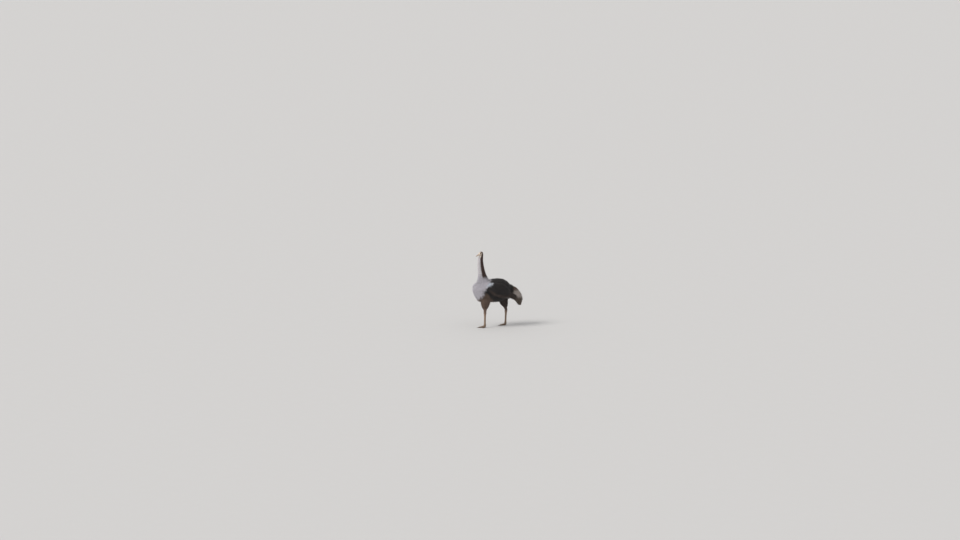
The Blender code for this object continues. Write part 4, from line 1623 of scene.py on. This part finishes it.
def head_coat():
    """Bristles that leave the eyes, the ears and the base of the beak bare."""
    coat = new_coat()
    roots = scattered(["head"], CROWN_SPACING, NECK_HULL)
    place = to_head(roots)
    clear = np.hypot(place[:, 1], place[:, 2] - EYE_RISE) > BARE_ROUND_EYE
    clear &= np.hypot(place[:, 1] - EAR[0], place[:, 2] - EAR[1]) > BARE_ROUND_EAR
    clear &= place[:, 1] > BRISTLE_FRONT
    roots, place = roots[clear], place[clear]
    lengths = np.interp(place[:, 1], (-0.05, 0.0, 0.05), (0.0035, 0.006, 0.012))
    lengths = lengths * (1 - 0.45 * ramp(place[:, 2], -0.012, -0.034))
    lengths = varied(lengths, 0.7, 1.3)
    settings = (lie_head, lengths, COAT_DEPTH["head"], BRISTLES, marks_along("head"))
    grow(coat, roots, NECK_HULL, around_head, *settings, stray=0.22, lift=0.06)
    for word, side in SIDES:
        lashes(coat, word, side)
    finish_coat("coat_head", coat, "pale_plumage")


# ---------------- the scales of the legs
SCALE_SPACING = 0.0068 * THIN
SCALE_RADIUS = 0.0038
SCALE_CORNERS = 6
SCUTE_PITCH = 0.0135
SCUTE_HALF_WIDTH = 0.0230
SCUTE_ROWS, SCUTE_COLUMNS = 4, 9
# For each row of a scute: how far it stands out, and how bright its painted shade leaves it, darkest
# on the rows that lie low.
SCUTE_RISES = (-0.0004, 0.0011, 0.0016, 0.0004)
SCUTE_PAINTED_SHADES = (0.60, 0.95, 1.08, 0.72)
FRONT_BARE = math.radians(42)  # the scutes' share of the shank's front, to each side


def scale_shape():
    """A domed six-sided plate, 1 in radius, its rim sunk under its neighbours."""
    turns = np.arange(SCALE_CORNERS) * 2 * math.pi / SCALE_CORNERS
    ring = np.stack([np.cos(turns), np.sin(turns)], axis=1)
    spots = [(0.0, 0.0, 0.20)]
    spots += [(0.80 * x, 0.80 * y, 0.13) for x, y in ring]
    spots += [(1.04 * x, 1.04 * y, -0.22) for x, y in ring]
    faces = []
    for step in range(SCALE_CORNERS):
        after = (step + 1) % SCALE_CORNERS
        faces.append((0, 1 + step, 1 + after))
        faces.append((1 + step, 7 + step, 7 + after))
        faces.append((1 + step, 7 + after, 1 + after))
    return np.array(spots), np.array(faces)


def lay_scales(coat, roots, normals, radii, marks):
    """Lays small plates flat on the skin, turned so that they point down the leg."""
    spots, faces = scale_shape()
    down = np.tile((0.0, 0.0, -1.0), (len(roots), 1)) + (0, -0.5, 0) * (roots[:, 2:] < 0.07)
    along = unit(down - normals * np.sum(down * normals, axis=1)[:, None])
    across = np.cross(along, normals)
    along = aside(along, normals, RNG.uniform(-0.3, 0.3, len(roots)))
    size = radii[:, None, None]
    laid = roots[:, None] + across[:, None] * spots[:, :1] * size
    laid = laid + along[:, None] * spots[:, 1:2] * size * 1.12
    laid = laid + normals[:, None] * spots[:, 2:] * size
    # Painted shade on each scale's rim, where it sinks under its neighbours.
    add_plates(coat, laid, faces, spots[:, :2], marks, np.where(spots[:, 2] < 0, 0.55, 1.0))


def add_plates(coat, laid, faces, patch, marks, tones):
    """Adds scales or scutes to a leg's coat, with painted shade that darkens them towards their
    rims.
    """
    marks = marks[:, None] * tones[None, :, None]
    add_shapes(coat, laid, faces, patch * 0.5, marks, around_leg(laid.mean(axis=1)))


def leg_axis(points):
    """The middle of the shank at the height of each point."""
    shank = "shank_left" if points[:, 0].mean() > 0 else "shank_right"
    low, high = corner_pair(shank)
    heights = np.linspace(low[2] + 0.02, high[2] - 0.01, 14)
    centres = axis_of([shank], heights, 0.030)
    return np.stack([np.interp(points[:, 2], heights, column) for column in centres.T], axis=1)


def lay_scutes(coat, hull, centres, out, side, along, pitch, half_width):
    """Broad plates in a row, each lapping over the next, bent round the hull."""
    across = np.linspace(-1, 1, SCUTE_COLUMNS)
    down = np.linspace(-0.56, 0.62, SCUTE_ROWS)
    grid = np.stack(np.meshgrid(across, down), axis=-1).reshape(-1, 2)
    column, row = grid[:, :1], grid[:, 1:]
    bowed = row + 0.14 * (1 - column**2)
    plate = side * column * half_width + along * bowed * pitch + out * 0.006
    rises = np.repeat(SCUTE_RISES, SCUTE_COLUMNS)[:, None]
    rises = rises * (1 - column**4) - 0.0014 * column**6
    laid = []
    for centre in centres:
        spots, normals = on_hull(hull, centre + plate)
        laid.append(spots + normals * rises)
    laid = np.array(laid)
    marks = leg_marks(laid.mean(axis=1)) * RNG.uniform(0.92, 1.22, (len(laid), 1))
    # Painted shade on each scute's rows, darker where they lie low.
    tones = np.repeat(SCUTE_PAINTED_SHADES, SCUTE_COLUMNS)
    add_plates(coat, laid, grid_triangles(SCUTE_ROWS, SCUTE_COLUMNS), grid, marks, tones)


def shank_scutes(coat, hull, word):
    """The row of plates down the front of a shank."""
    low, high = corner_pair(f"shank_{word}")
    heights = np.arange(high[2] - 0.030, 0.066, -SCUTE_PITCH)
    x = np.full(len(heights), (low[0] + high[0]) / 2)
    axis = leg_axis(np.stack([x, x, heights], axis=1))
    centres = np.stack([axis[:, 0], axis[:, 1] - 0.030, heights], axis=1)
    centres, _ = on_hull(hull, centres)
    ways = np.array(((0, -1, 0), (1, 0, 0), (0, 0, -1)))
    lay_scutes(coat, hull, centres, *ways, SCUTE_PITCH, SCUTE_HALF_WIDTH)


def toe_scutes(coat, hull, node, splay, half_width, pitch):
    """The row of plates along the top of a toe, from the ball of the foot to its end."""
    low, high = corner_pair(node)
    side = math.copysign(1, low[0] + high[0])
    heading = np.array((side * math.sin(splay), -math.cos(splay), 0.0))
    across = np.array((math.cos(splay), side * math.sin(splay), 0.0))
    spots, _, _ = joined_nodes([node])
    reach = spots @ heading
    middle_line = (spots @ across).min() / 2 + (spots @ across).max() / 2
    places = np.arange(reach.min() + 0.045, reach.max() - 0.006, pitch)
    centres = places[:, None] * heading + middle_line * across + (0, 0, 0.06)
    centres = [drop_on(hull, centre) for centre in centres]
    lay_scutes(coat, hull, centres, np.array((0, 0, 1)), across, heading, pitch, half_width)


def drop_on(hull, point):
    """Where a point lands on a hull when it falls straight down."""
    spot = hull[0].ray_cast(tuple(point), (0, 0, -1))[0]
    return point - (0, 0, 0.03) if spot is None else np.array(spot)


# For each toe: its splay, and the half width and pitch of the plates along its top.
TOE_SCUTES = {
    "inner": (math.radians(-4), 0.0220, 0.0110),
    "outer": (math.radians(27), 0.0150, 0.0100),
}


def leg_coat(word):
    """Small scales all over a shank and its toes, and rows of broad ones in front and on top."""
    nodes = [name for name in FLESH if name.startswith(("shank", "toe")) and name.endswith(word)]
    hull = make_hull(nodes, LEG_HULL_VOXEL)
    coat = new_coat()
    roots = scattered(nodes, SCALE_SPACING, hull, jitter=0.22)
    roots, normals = on_hull(hull, roots)
    axis = leg_axis(roots)
    turn = np.arctan2(np.abs(roots[:, 0] - axis[:, 0]), axis[:, 1] - roots[:, 1])
    taken = (roots[:, 2] > 0.085) & (turn < FRONT_BARE)
    keep = ~taken & (normals[:, 2] > -0.45) & (roots[:, 2] > 0.006)
    roots, normals = roots[keep], normals[keep]
    radii = SCALE_RADIUS * RNG.uniform(0.82, 1.14, len(roots))
    radii = radii * np.interp(roots[:, 2], (0.0, 0.06, 0.12), (0.80, 0.92, 1.0))
    marks = leg_marks(roots) * RNG.uniform(0.86, 1.16, (len(roots), 1))
    lay_scales(coat, roots - normals * 0.0009, normals, radii, marks)
    shank_scutes(coat, hull, word)
    for toe, sizes in TOE_SCUTES.items():
        toe_scutes(coat, hull, f"toe_{toe}_{word}", *sizes)
    finish_coat(f"scales_{word}", coat, "leg_scales")


# ---------------- lashes
LASH_COUNT = 44
LASH_JOINTS = 5
# Each row of lashes: its first and last turn round the eye, its length and its upward curl.
LASH_ROWS = ((8, 168, 0.0085, 0.55), (205, 335, 0.0038, -0.30))
LASH_HALF_WIDTH = 0.00042
LASH_DARK = shade(30, 22, 20)


def lashes(coat, word, side):
    """Curved lashes along the upper lid and shorter ones along the lower."""
    axes = eye_axes(side)
    _, back, up = axes
    for first, last, length, curl in LASH_ROWS:
        turns = np.radians(np.linspace(first, last, LASH_COUNT))
        turns = turns + RNG.uniform(-0.05, 0.05, LASH_COUNT)
        angles = lid_angle(turns) * RNG.uniform(1.02, 1.07, LASH_COUNT)
        heading, around = eye_headings(axes, turns, angles)
        start = EYES[word] + heading * (EYE_RADIUS + LID_EDGE * 0.9)
        lean = unit(heading + around * 0.30 + RNG.normal(0, 0.14, (LASH_COUNT, 3)))
        lengths = length * RNG.uniform(0.55, 1.1, LASH_COUNT)
        across = unit(np.cross(lean, heading)) * LASH_HALF_WIDTH
        rows = []
        for joint in range(LASH_JOINTS):
            share = joint / (LASH_JOINTS - 1)
            spot = start + lean * (lengths * share)[:, None]
            spot = spot + (up * curl - back * 0.25) * length * share**2
            width = across * (1 - 0.85 * share)
            rows += [spot - width, spot + width]
        laid = np.stack(rows, axis=1)
        patch = np.linspace((0, -0.5), (0, 0.5), len(rows))
        marks = np.broadcast_to(LASH_DARK, laid.shape)
        faces = grid_triangles(LASH_JOINTS, 2)
        add_shapes(coat, laid, faces, patch, marks, around_head(laid[:, 0]))


for side_word, _ in SIDES:
    leg_coat(side_word)
dress(make_skin(), SKIN, "skin", *FLESH)
trunk_coat()
wing_coat()
tail_coat()
thigh_coat()
neck_base_coat()
neck_coat()
head_coat()
make_beak()
make_claws()
make_eyes()
make_stage()
make_light()
make_camera()
bpy.context.scene.view_settings.view_transform = "Standard"
